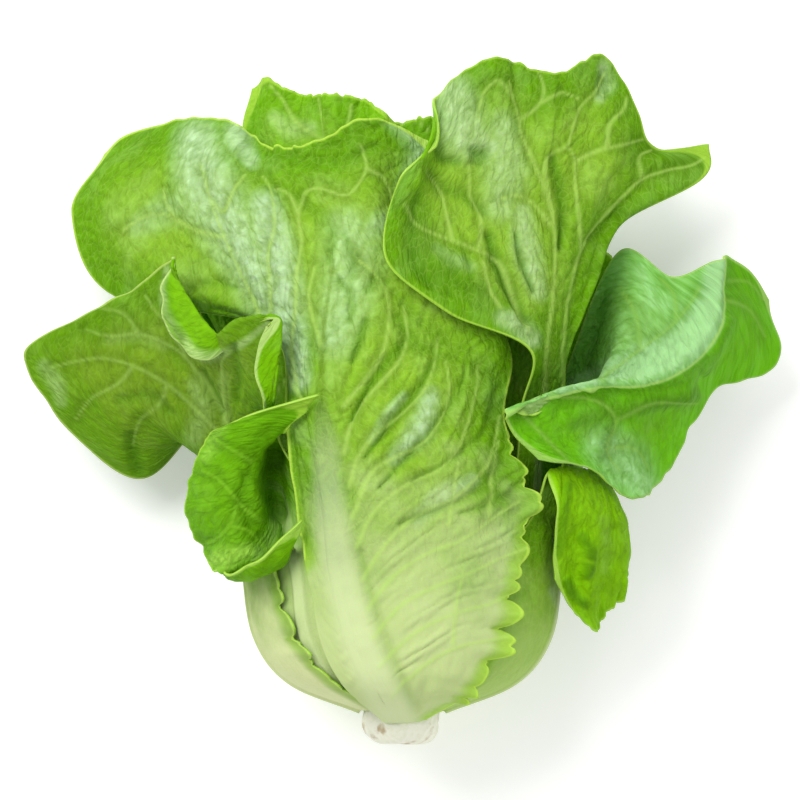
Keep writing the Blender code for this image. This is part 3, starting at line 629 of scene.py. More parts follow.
# %% The leaves
LEAVES = {
    "front_leaf": {
        "level": 0, "rib": (97, 112), "span": (125, 46), "foot": (115, 58), "ruffle": (2.0, 4, 0.4),
        "crown": FRONT_CROWN, "veins": FRONT_VEINS, "midrib": (FRONT_MIDRIB, FRONT_MIDRIB_HALF),
        "fine": (165, 278), "blister": (9, 6.5, 1.0), "frill": (1.1, 15, 7), "fan": FRONT_FAN,
        "side_frills": [(1, 0.05, 0.54, 19, 4.6, 4.4), (1, 0.05, 0.55, 8.5, 2.6, 2.6),
                        (-1, 0.05, 0.5, 30, 0.5, 0.6)]},
    "low_left_leaf": {
        "level": 2, "rib": (132, 134), "span": (152, 108), "foot": (152, 108), "ruffle": (1.4, 3, 1.1),
        "crown": LOW_LEFT_CROWN, "veins": LOW_LEFT_VEINS, "fine": (170, 150), "blister": (8, 6, 0.5)},
    "low_right_leaf": {
        "level": 1, "rib": (8, 6), "span": (56, -34), "foot": (54, -34), "ruffle": (1.4, 3, 2.3),
        "crown": LOW_RIGHT_CROWN, "veins": LOW_RIGHT_VEINS, "fine": (170, 150), "blister": (6, 4, 1.0)},
    "left_leaf": {
        "level": 1, "rib": (178, 182), "span": (225, 143), "foot": (220, 118), "ruffle": (1.0, 4, 0.0),
        "crown": LEFT_CROWN, "veins": LEFT_VEINS, "fine": (220, 190), "blister": (9, 7, 0.55),
        "side_frills": [(1, 0.06, 0.4, 17, 4.6, 2.4), (1, 0.06, 0.4, 8, 2.2, 1.2)]},
    "right_leaf": {
        "level": 2, "rib": (-22, -20), "span": (22, -60), "foot": (12, -54), "ruffle": (0.9, 4, 1.7),
        "crown": RIGHT_CROWN, "veins": RIGHT_VEINS, "fine": (190, 220), "blister": (8, 6, 0.4),
        "ridge": 0.75},
    "upper_right_leaf": {
        "level": 3, "rib": (52, 30), "span": (56, 6), "foot": (78, 26), "ruffle": (1.6, 4, 0.9),
        "crown": UPPER_RIGHT_CROWN, "veins": UPPER_RIGHT_VEINS, "fine": (210, 210),
        "blister": (9, 7, 0.9)},
    "back_leaf": {
        "level": 0, "rib": (270, 270), "span": (318, 222), "foot": (310, 230), "ruffle": (-1.0, 3, 0.3),
        "crown": BACK_CROWN, "fine": (150, 170), "blister": (9, 7, 0.35), "frill": (0.4, 13, 6)},
    "back_left_leaf": {
        "level": 3, "rib": (246, 246), "span": (264, 229), "foot": (266, 226), "ruffle": (2.2, 3, 1.4),
        "top": (-94, 64, 18), "side": (0.7, 0.7, 0), "half_width": 44, "heading": (-0.7, 0.7, 0),
        "lift": (0, 0, 2), "blister": (9, 7, 0.4)},
    "back_right_leaf": {
        "level": 4, "rib": (278, 278), "span": (296, 256), "foot": (298, 258), "ruffle": (2.2, 3, 2.0),
        "top": (94, 50, 16), "side": (0.6, -0.7, 0), "half_width": 44, "heading": (0.75, 0.65, 0),
        "lift": (0, 0, 2), "blister": (9, 7, 0.4)},
    "front_inner_leaf": {
        "level": 4, "rib": (95, 95), "span": (126, 66), "foot": (119, 71), "ruffle": (1.4, 3, 0.2),
        "crown": FRONT_INNER_CROWN, "veins": FRONT_INNER_VEINS, "blister": (8, 6, 0.4)},
    "right_inner_leaf": {
        "level": 5, "rib": (15, 15), "span": (46, -20), "foot": (37, -7), "ruffle": (1.8, 3, 0.8),
        "top": (72, 74, 49), "side": (-0.5, 0.35, 0.5), "half_width": 26, "heading": (0.45, 0.9, 0),
        "lift": (0, 0, 0), "blister": (7, 5, 0.6), "frill": (1.4, 9, 6)},
    "left_inner_leaf": {
        "level": 5, "rib": (168, 168), "span": (202, 142), "foot": (190, 146), "ruffle": (1.8, 3, 0.5),
        "top": (-84, 80, 32), "side": (-0.7, -0.45, -0.2), "half_width": 27, "heading": (-0.6, 0.8, 0),
        "lift": (0, 0, 0), "blister": (7, 5, 0.4)},
    "back_inner_leaf": {
        "level": 6, "rib": (270, 270), "span": (306, 234), "foot": (292, 248), "ruffle": (2.4, 3, 1.9),
        "top": (0, 106, 24), "side": (1, 0, 0), "half_width": 46, "heading": (0, 1, 0),
        "lift": (0, 0, 8), "blister": (8, 6, 0.4)},
    "upper_inner_leaf": {
        "level": 6, "rib": (78, 78), "span": (100, 53), "foot": (98, 58), "ruffle": (2.0, 3, 2.6),
        "top": (14, 113, 58), "side": (-1, 0, 0), "half_width": 24, "heading": (0.1, 1, 0),
        "lift": (0, 0, -2), "blister": (7, 5, 0.4)},
    "heart_left_leaf": {
        "level": 11, "rib": (205, 205), "span": (262, 148), "foot": (239, 171), "ruffle": (1.6, 3, 0.6),
        "closing": (178, 142), "blister": (7, 5, 0.4)},
    "heart_right_leaf": {
        "level": 13.5, "rib": (335, 335), "span": (395, 275), "foot": (371, 299),
        "ruffle": (1.6, 3, 1.6), "closing": (168, 143), "blister": (7, 5, 0.4)},
    "heart_front_leaf": {
        "level": 16, "rib": (95, 95), "span": (160, 30), "foot": (133, 57), "ruffle": (1.4, 3, 2.6),
        "closing": (146, 142), "blister": (6, 5, 0.4)},
}
PLAIN_FINE = (110, 110)
print(len(LEAVES), "leaves in the table")

# %% [markdown]
# Between its veins the blade swells like a quilt. Some folds and hollows are too strong to leave to
# a rule, so they are brushed on along drawn lines: folds sink the blade and darken its green with
# painted shade, also where one leaf lies in the shadow of another. Bloom is the pale wax that dusts
# a blade where nothing rubs it off, and its strokes also paint sheen and highlights.

# %% Folds with painted shade, and bloom with painted sheen
# line, half widths in mm, power
FOLDS_AND_SHADE = {
    "front_leaf": [
        ([(412, 336), (398, 350), (384, 366), (366, 392), (352, 420)], (3, 5, 4, 3, 2), 1.0),
        ([(446, 338), (432, 366), (412, 398), (388, 428), (366, 456)], (2, 4, 4, 3, 2), 0.8),
        ([(470, 352), (458, 392), (438, 424), (406, 458), (380, 486)], (2, 4, 4, 3, 2), 0.7),
        ([(500, 372), (490, 412), (476, 440), (446, 462), (412, 480)], (2, 4, 4, 3, 2), 0.6),
        ([(516, 430), (500, 462), (474, 492), (440, 508), (400, 522)], (2, 4, 3, 3, 2), 0.55),
        ([(518, 486), (490, 502), (460, 512)], (3, 3, 2), 0.5),
        ([(300, 200), (318, 216), (332, 236), (330, 262)], (3, 6, 6, 3), 0.5),
        ([(270, 150), (300, 160), (340, 162), (376, 150)], (4, 7, 7, 4), 0.9),
        ([(345, 236), (354, 262), (350, 290)], (3, 4, 3), 0.5),
        ([(366, 322), (360, 342), (352, 362)], (3, 4, 2), 0.8),
        ([(388, 284), (376, 280), (368, 292)], (3, 4, 3), 0.6),
        ([(398, 296), (424, 326), (462, 356), (504, 384)], (5, 8, 8, 5), 0.6),
        ([(236, 290), (214, 284), (196, 290)], (3, 4, 3), 0.5),
        ([(298, 560), (304, 600), (320, 650), (346, 690)], (2, 2, 2, 2), 0.5),
        ([(360, 550), (372, 600), (388, 646), (410, 700)], (3, 4, 5, 5), 0.45),
        ([(286, 424), (292, 470), (300, 520), (306, 562)], (4, 5, 4, 2), 0.9),
        ([(268, 132), (296, 142), (336, 142), (372, 132)], (8, 10, 10, 7), 0.7),
        ([(340, 282), (352, 300), (350, 322)], (3, 4, 3), 0.6),
        ([(398, 318), (416, 344), (436, 352)], (5, 7, 5), 0.8),
    ],
    "upper_right_leaf": [
        ([(474, 154), (478, 160), (482, 156)], (5, 6, 5), 0.9),
        ([(416, 214), (424, 244), (446, 274), (484, 296)], (10, 14, 13, 9), 0.7),
        ([(488, 236), (496, 262), (508, 290), (524, 322)], (3, 5, 5, 3), 1.0),
        ([(514, 236), (520, 262), (532, 292)], (2, 3, 2), 0.8),
        ([(552, 160), (558, 186), (562, 216), (560, 250)], (4, 5, 4, 2), 0.9),
        ([(416, 200), (412, 230), (416, 262), (430, 286)], (5, 7, 7, 4), 0.9),
        ([(440, 246), (444, 270), (450, 296)], (3, 4, 3), 0.7),
        ([(466, 260), (472, 284), (482, 306)], (3, 4, 3), 0.7),
        ([(430, 176), (440, 188), (462, 196), (484, 214)], (3, 5, 5, 3), 0.6),
        ([(436, 150), (442, 160), (456, 164)], (3, 4, 3), 0.8),
        ([(606, 96), (604, 84), (606, 70)], (4, 5, 3), 0.4),
        ([(590, 240), (604, 226), (620, 212)], (3, 4, 3), 0.5),
    ],
    "right_leaf": [
        ([(566, 420), (600, 412), (640, 404), (690, 392)], (5, 7, 7, 5), 0.8),
        ([(590, 392), (604, 420), (600, 452)], (4, 6, 4), 0.6),
        ([(618, 300), (612, 330), (600, 362)], (7, 9, 7), 0.9),
        ([(706, 372), (716, 346), (726, 322)], (3, 4, 4), 0.6),
    ],
    "left_leaf": [
        ([(204, 372), (214, 392), (224, 414)], (3, 4, 3), 0.7),
        ([(236, 346), (240, 372), (238, 400)], (3, 4, 3), 0.6),
        ([(130, 436), (134, 456), (138, 470)], (4, 5, 4), 0.7),
        ([(166, 280), (170, 306), (184, 336)], (3, 4, 3), 0.4),
        ([(120, 400), (150, 396), (170, 412)], (4, 5, 4), 0.5),
    ],
    "low_left_leaf": [
        ([(276, 456), (272, 482), (280, 512)], (7, 9, 7), 1.0),
        ([(248, 476), (244, 500), (252, 522)], (4, 5, 4), 0.5),
        ([(222, 578), (246, 572), (274, 562), (296, 548)], (3, 4, 4, 3), 0.4),
    ],
    "low_right_leaf": [
        ([(566, 486), (560, 520), (556, 552)], (3, 4, 3), 0.6),
        ([(580, 534), (588, 552), (584, 572)], (3, 4, 3), 0.7),
        ([(566, 580), (572, 592), (582, 600)], (3, 4, 3), 0.8),
    ],
}
BLOOMS_AND_SHEEN = {
    "front_leaf": [
        ([(198, 144), (206, 180), (226, 220), (250, 268), (280, 330)], (15, 19, 19, 15, 10), 1.05),
        ([(140, 226), (176, 206), (212, 222)], (8, 13, 10), 0.5),
        ([(244, 122), (238, 140), (250, 160)], (7, 9, 6), 0.8),
        ([(266, 206), (276, 250), (286, 306), (300, 380)], (10, 13, 14, 8), 1.2),
        ([(396, 116), (420, 134), (424, 160), (404, 196)], (9, 12, 11, 7), 0.8),
        ([(346, 232), (352, 262), (346, 300), (336, 340)], (15, 20, 19, 14), 0.6),
        ([(366, 240), (384, 226), (396, 238)], (8, 10, 8), 0.5),
        ([(430, 396), (420, 430), (394, 458)], (6, 9, 5), 0.9),
        ([(470, 480), (440, 496), (416, 520)], (5, 7, 5), 0.8),
        ([(404, 396), (388, 414), (372, 440)], (3, 4, 3), 0.6),
        ([(430, 700), (446, 660), (470, 640)], (10, 12, 8), 0.5),
    ],
    "upper_right_leaf": [
        ([(452, 96), (458, 118), (466, 140), (488, 150)], (13, 17, 15, 10), 1.0),
        ([(500, 130), (504, 170), (500, 206)], (12, 16, 12), 0.7),
        ([(520, 214), (524, 250), (536, 292)], (7, 10, 7), 0.8),
        ([(500, 318), (518, 326), (530, 340)], (5, 7, 6), 0.9),
        ([(604, 68), (606, 84), (600, 98)], (5, 6, 4), 0.9),
        ([(436, 250), (452, 262), (470, 268)], (4, 5, 4), 0.5),
    ],
    "right_leaf": [
        ([(556, 388), (600, 374), (650, 360), (690, 336), (712, 296), (716, 262)],
         (4, 8, 15, 16, 11, 7), 1.8),
        ([(640, 270), (656, 300), (680, 310)], (9, 14, 12), 0.8),
        ([(604, 446), (624, 468), (640, 484)], (14, 17, 12), 0.9),
    ],
    "left_leaf": [
        ([(44, 366), (56, 384), (60, 402)], (5, 6, 4), 0.9),
        ([(167, 268), (165, 300), (180, 334), (207, 356), (240, 346), (272, 322)], (2, 3, 4, 4, 3, 2), 1.2),
        ([(196, 436), (204, 408), (196, 384)], (7, 8, 5), 0.7),
        ([(228, 420), (224, 396), (226, 376)], (4, 5, 4), 0.5),
        ([(110, 340), (140, 336), (166, 346)], (4, 5, 4), 0.4),
    ],
    "low_left_leaf": [
        ([(226, 426), (214, 440), (206, 456)], (5, 7, 5), 0.6),
        ([(214, 560), (228, 556), (250, 548)], (5, 8, 5), 1.1),
    ],
    "low_right_leaf": [
        ([(600, 520), (606, 546), (604, 570)], (4, 5, 4), 0.5),
        ([(550, 590), (562, 608), (580, 622)], (3, 4, 3), 0.6),
    ],
    "front_inner_leaf": [
        ([(276, 118), (292, 130), (310, 128)], (5, 7, 5), 0.7),
    ],
}
print(sum(map(len, FOLDS_AND_SHADE.values())), "folds and", sum(map(len, BLOOMS_AND_SHEEN.values())), "strokes of bloom")

# %% Relief of one leaf
SIDE_SLANT = 0.9
SIDE_SPACING = 15.0
RIB_HALF = 3.6
VEIN_HALF = (1.05, 0.85, 0.65, 0.55)
QUILT_REACH = 5.5
FOLD_DEPTH = 2.8
WRINKLES_A_GAP = 2
WRINKLE_HEIGHT = 0.42
RIDGE_WAX_AND_SHEEN, RIDGE_SHADE = 0.55, 0.5
UNDERSIDE_CALM = 0.35
BARE_MARGIN, BARE_END, GREEN_FROM = 12, 0.30, 0.36
CORNER_ROUND = 6
BLADE_THICK, RIB_THICK = 1.0, 2.4
RIB_FADES_BY = 150
THICK_STEPS = 60


def ways(sheet):
    """Lengths on the sheet: u across it from the middle, v from its foot, and to its margins."""
    across = np.linalg.norm(np.diff(sheet, axis=1), axis=2)
    along = np.linalg.norm(np.diff(sheet, axis=0), axis=2)
    from_left = np.pad(np.cumsum(across, axis=1), ((0, 0), (1, 0)))
    from_foot = np.pad(np.cumsum(along, axis=0), ((1, 0), (0, 0)))
    middle = from_left[:, [sheet.shape[1] // 2]]
    to_side = np.minimum(from_left, from_left[:, [-1]] - from_left)
    to_top = from_foot[[-1]] - from_foot
    return from_left - middle, from_foot, to_side, to_top


def vein_fields(leaf, sheet, u, v):
    """The midrib and the veins, each 1 on its line, and the quilt that swells between them."""
    x, y = sheet[..., 0], sheet[..., 1]
    long = v.max()
    if "midrib" in leaf:
        rib = 1 - smooth(0.3, 1.25, along_line(x, y, *leaf["midrib"])[0])
    else:
        taper = np.clip(1.25 - v / long, 0.12, 1)
        rib = 1 - smooth(0.5, 1.2, np.abs(u) / (RIB_HALF * taper))
        rib *= 1 - smooth(0.3, 0.75, v / long)
    vein = np.zeros_like(rib)
    away = np.full(rib.shape, 99.0)
    for line in leaf.get("veins", ()):
        share, plain = along_line(x, y, line, VEIN_HALF)
        vein = np.maximum(vein, np.exp(-share ** 2))
        away = np.minimum(away, plain)
    if "veins" not in leaf:
        slant = v - SIDE_SLANT * np.abs(u) ** 0.95 + 3 * np.sin(np.sign(u) * 2 + v / 20)
        phase = slant / SIDE_SPACING + 0.5 * (u > 0)
        away = np.abs(phase - np.round(phase)) * SIDE_SPACING
        vein = np.exp(-(away / 0.7) ** 2) * smooth(0.2, 0.4, v / long)
    return rib, vein, smooth(0, QUILT_REACH, away)


def painted(name, table, x, y):
    """All the strokes that a table gives a leaf, the strongest at each point."""
    found = np.zeros(x.shape)
    for points, widths, power in table.get(name, ()):
        found = np.maximum(found, stroke(x, y, points, widths, power))
    return found


def wrinkles(leaf, x, y, u):
    """The height of fine wrinkles that run between the side veins and bend with them."""
    if "fan" not in leaf:
        return np.zeros(x.shape)
    gaps = [along_line(x, y, line, VEIN_HALF)[1] for line in leaf["fan"]]
    pull = np.array([1 / (gap + 1.0) ** 3 for gap in gaps])
    place = np.tensordot(np.arange(len(gaps)), pull, axes=1) / pull.sum(axis=0)
    nearest = np.min(gaps, axis=0)
    wave = np.sin(2 * math.pi * (WRINKLES_A_GAP * place + 0.3 * np.sin(u / 6)))
    wave += 0.5 * np.sin(2 * math.pi * (1.7 * WRINKLES_A_GAP * place + 0.4 * np.sin(u / 4.3)))
    patchy = 0.55 + 0.45 * np.sin(u / 9 + 2.1 * place)
    return wave * patchy * (1 - smooth(10, 18, nearest))


def relief(name, sheet, normals, across, along):
    """The sheet with its ruffles, ribs and blisters, and the fields that the finish reads."""
    leaf = LEAVES[name]
    u, v, to_side, to_top = ways(sheet)
    free = smooth(RUFFLE_START - 0.1, RUFFLE_FULL, along)
    edge = -CORNER_ROUND * np.log(np.exp(-to_side / CORNER_ROUND) + np.exp(-to_top / CORNER_ROUND))
    edge = np.clip(edge, 0, None)
    round_way = np.arctan2(across, along - 0.3) * 60
    rib, vein, quilt = vein_fields(leaf, sheet, u, v)
    # The fold strokes sink the blade and paint shade into its colour; the pale strokes paint the leaf's wax
    # together with sheen and highlights.
    fold_and_shade = painted(name, FOLDS_AND_SHADE, sheet[..., 0], sheet[..., 1])
    bloom_and_sheen = painted(name, BLOOMS_AND_SHEEN, sheet[..., 0], sheet[..., 1])
    wide, tall, height = leaf["blister"]
    slant = v - SIDE_SLANT * np.abs(u)
    seed = int(2 * leaf["level"])
    big = blisters(u + 2 * np.sin(v / 9), slant + 2 * np.sin(u / 7), (wide, tall), seed)
    small = blisters(u + np.sin(v / 5), v + np.sin(u / 5), (0.45 * wide, 0.45 * wide), 7)
    swell = (0.6 * quilt + 0.3 * big + 0.1 * small) * (1 - rib)
    inside = smooth(0, 5, edge)
    creased = wrinkles(leaf, sheet[..., 0], sheet[..., 1], u) * (1 - rib)
    push = ruffle_height(leaf, across, along) + fine_ruffle(leaf, round_way, edge, free)
    push += height * (0.35 + 0.65 * free) * (1.6 * swell - 0.7) * inside
    push += 0.9 * rib + 0.25 * vein - FOLD_DEPTH * fold_and_shade * inside + WRINKLE_HEIGHT * creased
    swell = np.clip(swell + 0.3 * creased, 0, 1.2)
    # Up to the ridge the blade gets pale wax with painted sheen, and just past the ridge painted shade.
    if "ridge" in leaf:
        ridge = leaf["ridge"]
        wax_and_sheen = smooth(0.3, 0.5, along) * (1 - smooth(ridge, ridge + 0.02, along))
        bloom_and_sheen = np.maximum(bloom_and_sheen * (wax_and_sheen + smooth(0.84, 0.9, along)), RIDGE_WAX_AND_SHEEN * wax_and_sheen)
        under = smooth(ridge, ridge + 0.03, along) * (1 - smooth(0.8, 0.95, along))
        fold_and_shade = np.maximum(fold_and_shade * (1 - wax_and_sheen / 2), RIDGE_SHADE * under)
        edge = np.minimum(edge, np.abs(v - v[[int(ridge * (v.shape[0] - 1))]]) + 0.2)
    if "midrib" in leaf:
        edge = edge + BARE_MARGIN * (across < 0) * (1 - smooth(BARE_END, GREEN_FROM, along))
    elif leaf["level"] == 0:
        push *= UNDERSIDE_CALM
    made = sheet + normals * push[..., None]
    made += scallops(leaf, sheet, round_way, to_side, to_top, along, v)
    half = (BLADE_THICK + (RIB_THICK - BLADE_THICK) * rib) / 2
    made[..., 2] = np.maximum(made[..., 2], half - SHIFT[2])
    return made, {"edge": edge, "vein": vein, "rib": rib, "swell": swell, "foot": v,
                  "fold_and_shade": fold_and_shade, "bloom_and_sheen": bloom_and_sheen}, (u, v)


# %% [markdown]
# A bmesh grid gives the faces. Its points move onto the sheet, and a Solidify modifier gives the
# blade its thickness, thin at the margin and thick along the midrib. Its two faces and its rim get
# a material each, because the back of a leaf is duller than its inner face and its rim is paler.

# %% Make a leaf
def leaf_piece(name, faces):
    """One leaf as a mesh with its fields as attributes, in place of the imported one."""
    leaf = LEAVES[name]
    columns, rows = leaf.get("fine", PLAIN_FINE)
    across = np.linspace(-1, 1, columns + 1)
    along = np.linspace(0, 1, rows + 1)
    guide = through(leaf_cage(leaf), along)
    sheet = through(guide.transpose(1, 0, 2), (across + 1) / 2).transpose(1, 0, 2)
    normals = np.cross(np.gradient(sheet, axis=1), np.gradient(sheet, axis=0))
    normals /= np.linalg.norm(normals, axis=2, keepdims=True)
    sheet, fields, (u, v) = relief(name, sheet, normals, across[None, :], along[:, None])

    shape = bmesh.new()
    shape.loops.layers.uv.new("leaf")
    bmesh.ops.create_grid(shape, x_segments=columns, y_segments=rows, size=1.0, calc_uvs=True)
    mesh = bpy.data.meshes.new(name)
    shape.to_mesh(mesh)
    shape.free()
    flat = np.empty(3 * len(mesh.vertices))
    mesh.vertices.foreach_get("co", flat)
    flat = flat.reshape(-1, 3)
    column = np.rint((flat[:, 0] + 1) / 2 * columns).astype(int)
    row = np.rint((flat[:, 1] + 1) / 2 * rows).astype(int)
    places = (sheet[row, column] + SHIFT) * MM
    mesh.vertices.foreach_set("co", places.ravel())
    for title, field in fields.items():
        mesh.attributes.new(title, "FLOAT", "POINT").data.foreach_set("value", field[row, column])
    corner = np.empty(len(mesh.loops), int)
    mesh.loops.foreach_get("vertex_index", corner)
    spread = np.stack([u[row, column], v[row, column]], axis=1)[corner] / 100
    mesh.uv_layers["leaf"].data.foreach_set("uv", spread.ravel())
    mesh.update()
    mesh.shade_smooth()
    for face in faces:
        mesh.materials.append(face)
    made = bpy.data.objects.new("fine_" + name, mesh)
    bpy.context.scene.collection.objects.link(made)
    group = made.vertex_groups.new(name="rib")
    thinning = 1 - fields["foot"][row, column] / RIB_FADES_BY
    thick = np.clip(fields["rib"][row, column] * thinning, 0, 1)
    for level in range(1, THICK_STEPS + 1):
        chosen = np.flatnonzero(np.rint(thick * THICK_STEPS) == level)
        group.add(chosen.tolist(), level / THICK_STEPS, "REPLACE")
    thicken = made.modifiers.new("thickness", "SOLIDIFY")
    thicken.thickness = RIB_THICK * MM
    thicken.offset = 0.0
    thicken.vertex_group = "rib"
    thicken.thickness_vertex_group = BLADE_THICK / RIB_THICK
    thicken.material_offset = 1
    thicken.material_offset_rim = 2
    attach(made, "root")
    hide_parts(name)
    return made


# %% [markdown]
# ## Finishes
#
# Lettuce tissue is waxy and a little see-through. Its colour runs from a saturated yellow green at
# the margin to a paler, bluish bloom inside, and to near white on the ribs and at the foot. The
# bloom strokes also paint sheen and highlights, the folds get painted shade, and the blade is
# painted darker between its blisters and lighter on their tops. One node group mixes these from
# the fields that each mesh carries. Every leaf then sets its own colours. The fine net of veins is
# a Voronoi pattern on the leaf's own map, and the small folds between them are the lines where a
# noise pattern passes through its middle value.

# %% Node helpers
def add_node(tree, kind, place, **values):
    """A new node at a place, with some of its settings."""
    made = tree.nodes.new(kind)
    made.location = place
    for title, value in values.items():
        setattr(made, title, value)
    return made


def ramp_between(tree, value, low, high, place):
    """A smooth step of a value, from 0 at low to 1 at high."""
    step = add_node(tree, "ShaderNodeMapRange", place, interpolation_type="SMOOTHSTEP")
    step.inputs["From Min"].default_value = low
    step.inputs["From Max"].default_value = high
    tree.links.new(value, step.inputs["Value"])
    return step.outputs["Result"]


def blend_colours(tree, factor, first, second, place, how="MIX"):
    """Two colours mixed by a factor."""
    mixer = add_node(tree, "ShaderNodeMix", place, data_type="RGBA", blend_type=how)
    for socket, value in ((mixer.inputs[0], factor), (mixer.inputs[6], first), (mixer.inputs[7], second)):
        if isinstance(value, bpy.types.NodeSocket):
            tree.links.new(value, socket)
        else:
            socket.default_value = value
    return mixer.outputs[2]


def work_out(tree, how, first, second, place, third=0.5):
    """One arithmetic step. MULTIPLY_ADD multiplies the first two values and adds the third."""
    maths = add_node(tree, "ShaderNodeMath", place, operation=how)
    for socket, value in zip(maths.inputs, (first, second, third)):
        if isinstance(value, bpy.types.NodeSocket):
            tree.links.new(value, socket)
        else:
            socket.default_value = value
    return maths.outputs[0]


def noise_on(tree, vector, scale, detail, place):
    """A noise pattern on the coordinates that a socket gives."""
    noise = add_node(tree, "ShaderNodeTexNoise", place)
    noise.inputs["Scale"].default_value = scale
    noise.inputs["Detail"].default_value = detail
    tree.links.new(vector, noise.inputs["Vector"])
    return noise


def new_finish(name):
    """A new material, its node tree and its surface shader."""
    made = bpy.data.materials.new(name)
    made.use_nodes = True
    return made, made.node_tree, made.node_tree.nodes["Principled BSDF"]


# %% The fine net of veins
def build_net_group():
    """A net of fine veins: 1 on its lines, a height that dips there, and a crumple, 0 in its folds."""
    group = bpy.data.node_groups.new("fine_vein_net", "ShaderNodeTree")
    group.interface.new_socket("Map", in_out="INPUT", socket_type="NodeSocketVector")
    scale = group.interface.new_socket("Cells", in_out="INPUT", socket_type="NodeSocketFloat")
    scale.default_value = 30
    group.interface.new_socket("Lines", in_out="OUTPUT", socket_type="NodeSocketFloat")
    group.interface.new_socket("Height", in_out="OUTPUT", socket_type="NodeSocketFloat")
    group.interface.new_socket("Crumple", in_out="OUTPUT", socket_type="NodeSocketFloat")
    start = add_node(group, "NodeGroupInput", (-900, 0))
    end = add_node(group, "NodeGroupOutput", (500, 0))
    wobble = noise_on(group, start.outputs["Map"], 14, 3, (-700, -200))
    push = add_node(group, "ShaderNodeVectorMath", (-500, -100), operation="MULTIPLY_ADD")
    push.inputs[1].default_value = (0.05, 0.05, 0)
    group.links.new(wobble.outputs["Color"], push.inputs[0])
    group.links.new(start.outputs["Map"], push.inputs[2])
    coarse = add_node(group, "ShaderNodeTexVoronoi", (-300, 100), feature="DISTANCE_TO_EDGE")
    fine = add_node(group, "ShaderNodeTexVoronoi", (-300, -200), feature="DISTANCE_TO_EDGE")
    triple = work_out(group, "MULTIPLY", start.outputs["Cells"], 2.7, (-500, -300))
    group.links.new(start.outputs["Cells"], coarse.inputs["Scale"])
    group.links.new(triple, fine.inputs["Scale"])
    for cells in (coarse, fine):
        group.links.new(push.outputs[0], cells.inputs["Vector"])
    wide = ramp_between(group, coarse.outputs["Distance"], 0.09, 0.0, (-80, 100))
    thin = ramp_between(group, fine.outputs["Distance"], 0.08, 0.0, (-80, -200))
    half = work_out(group, "MULTIPLY", thin, 0.45, (100, -200))
    lines = work_out(group, "MAXIMUM", wide, half, (280, 50))
    dip = ramp_between(group, coarse.outputs["Distance"], 0.0, 0.35, (100, 250))
    dimple = ramp_between(group, fine.outputs["Distance"], 0.0, 0.35, (100, -400))
    quarter = work_out(group, "MULTIPLY", dimple, 0.3, (280, -300))
    height = work_out(group, "ADD", dip, quarter, (400, -200))
    group.links.new(lines, end.inputs["Lines"])
    group.links.new(height, end.inputs["Height"])

    longer = add_node(group, "ShaderNodeVectorMath", (-500, -600), operation="MULTIPLY")
    longer.inputs[1].default_value = (17, 8, 1)
    group.links.new(start.outputs["Map"], longer.inputs[0])
    folds = noise_on(group, longer.outputs[0], 1, 2.5, (-300, -600))
    folds.inputs["Distortion"].default_value = 0.4
    crease = work_out(group, "SUBTRACT", folds.outputs["Fac"], 0.5, (-80, -600))
    crease = work_out(group, "ABSOLUTE", crease, 0.0, (100, -600))
    crumple = ramp_between(group, crease, 0.0, 0.10, (280, -600))
    group.links.new(crumple, end.inputs["Crumple"])
    return group


NET = build_net_group()
print("vein net:", len(NET.nodes), "nodes")


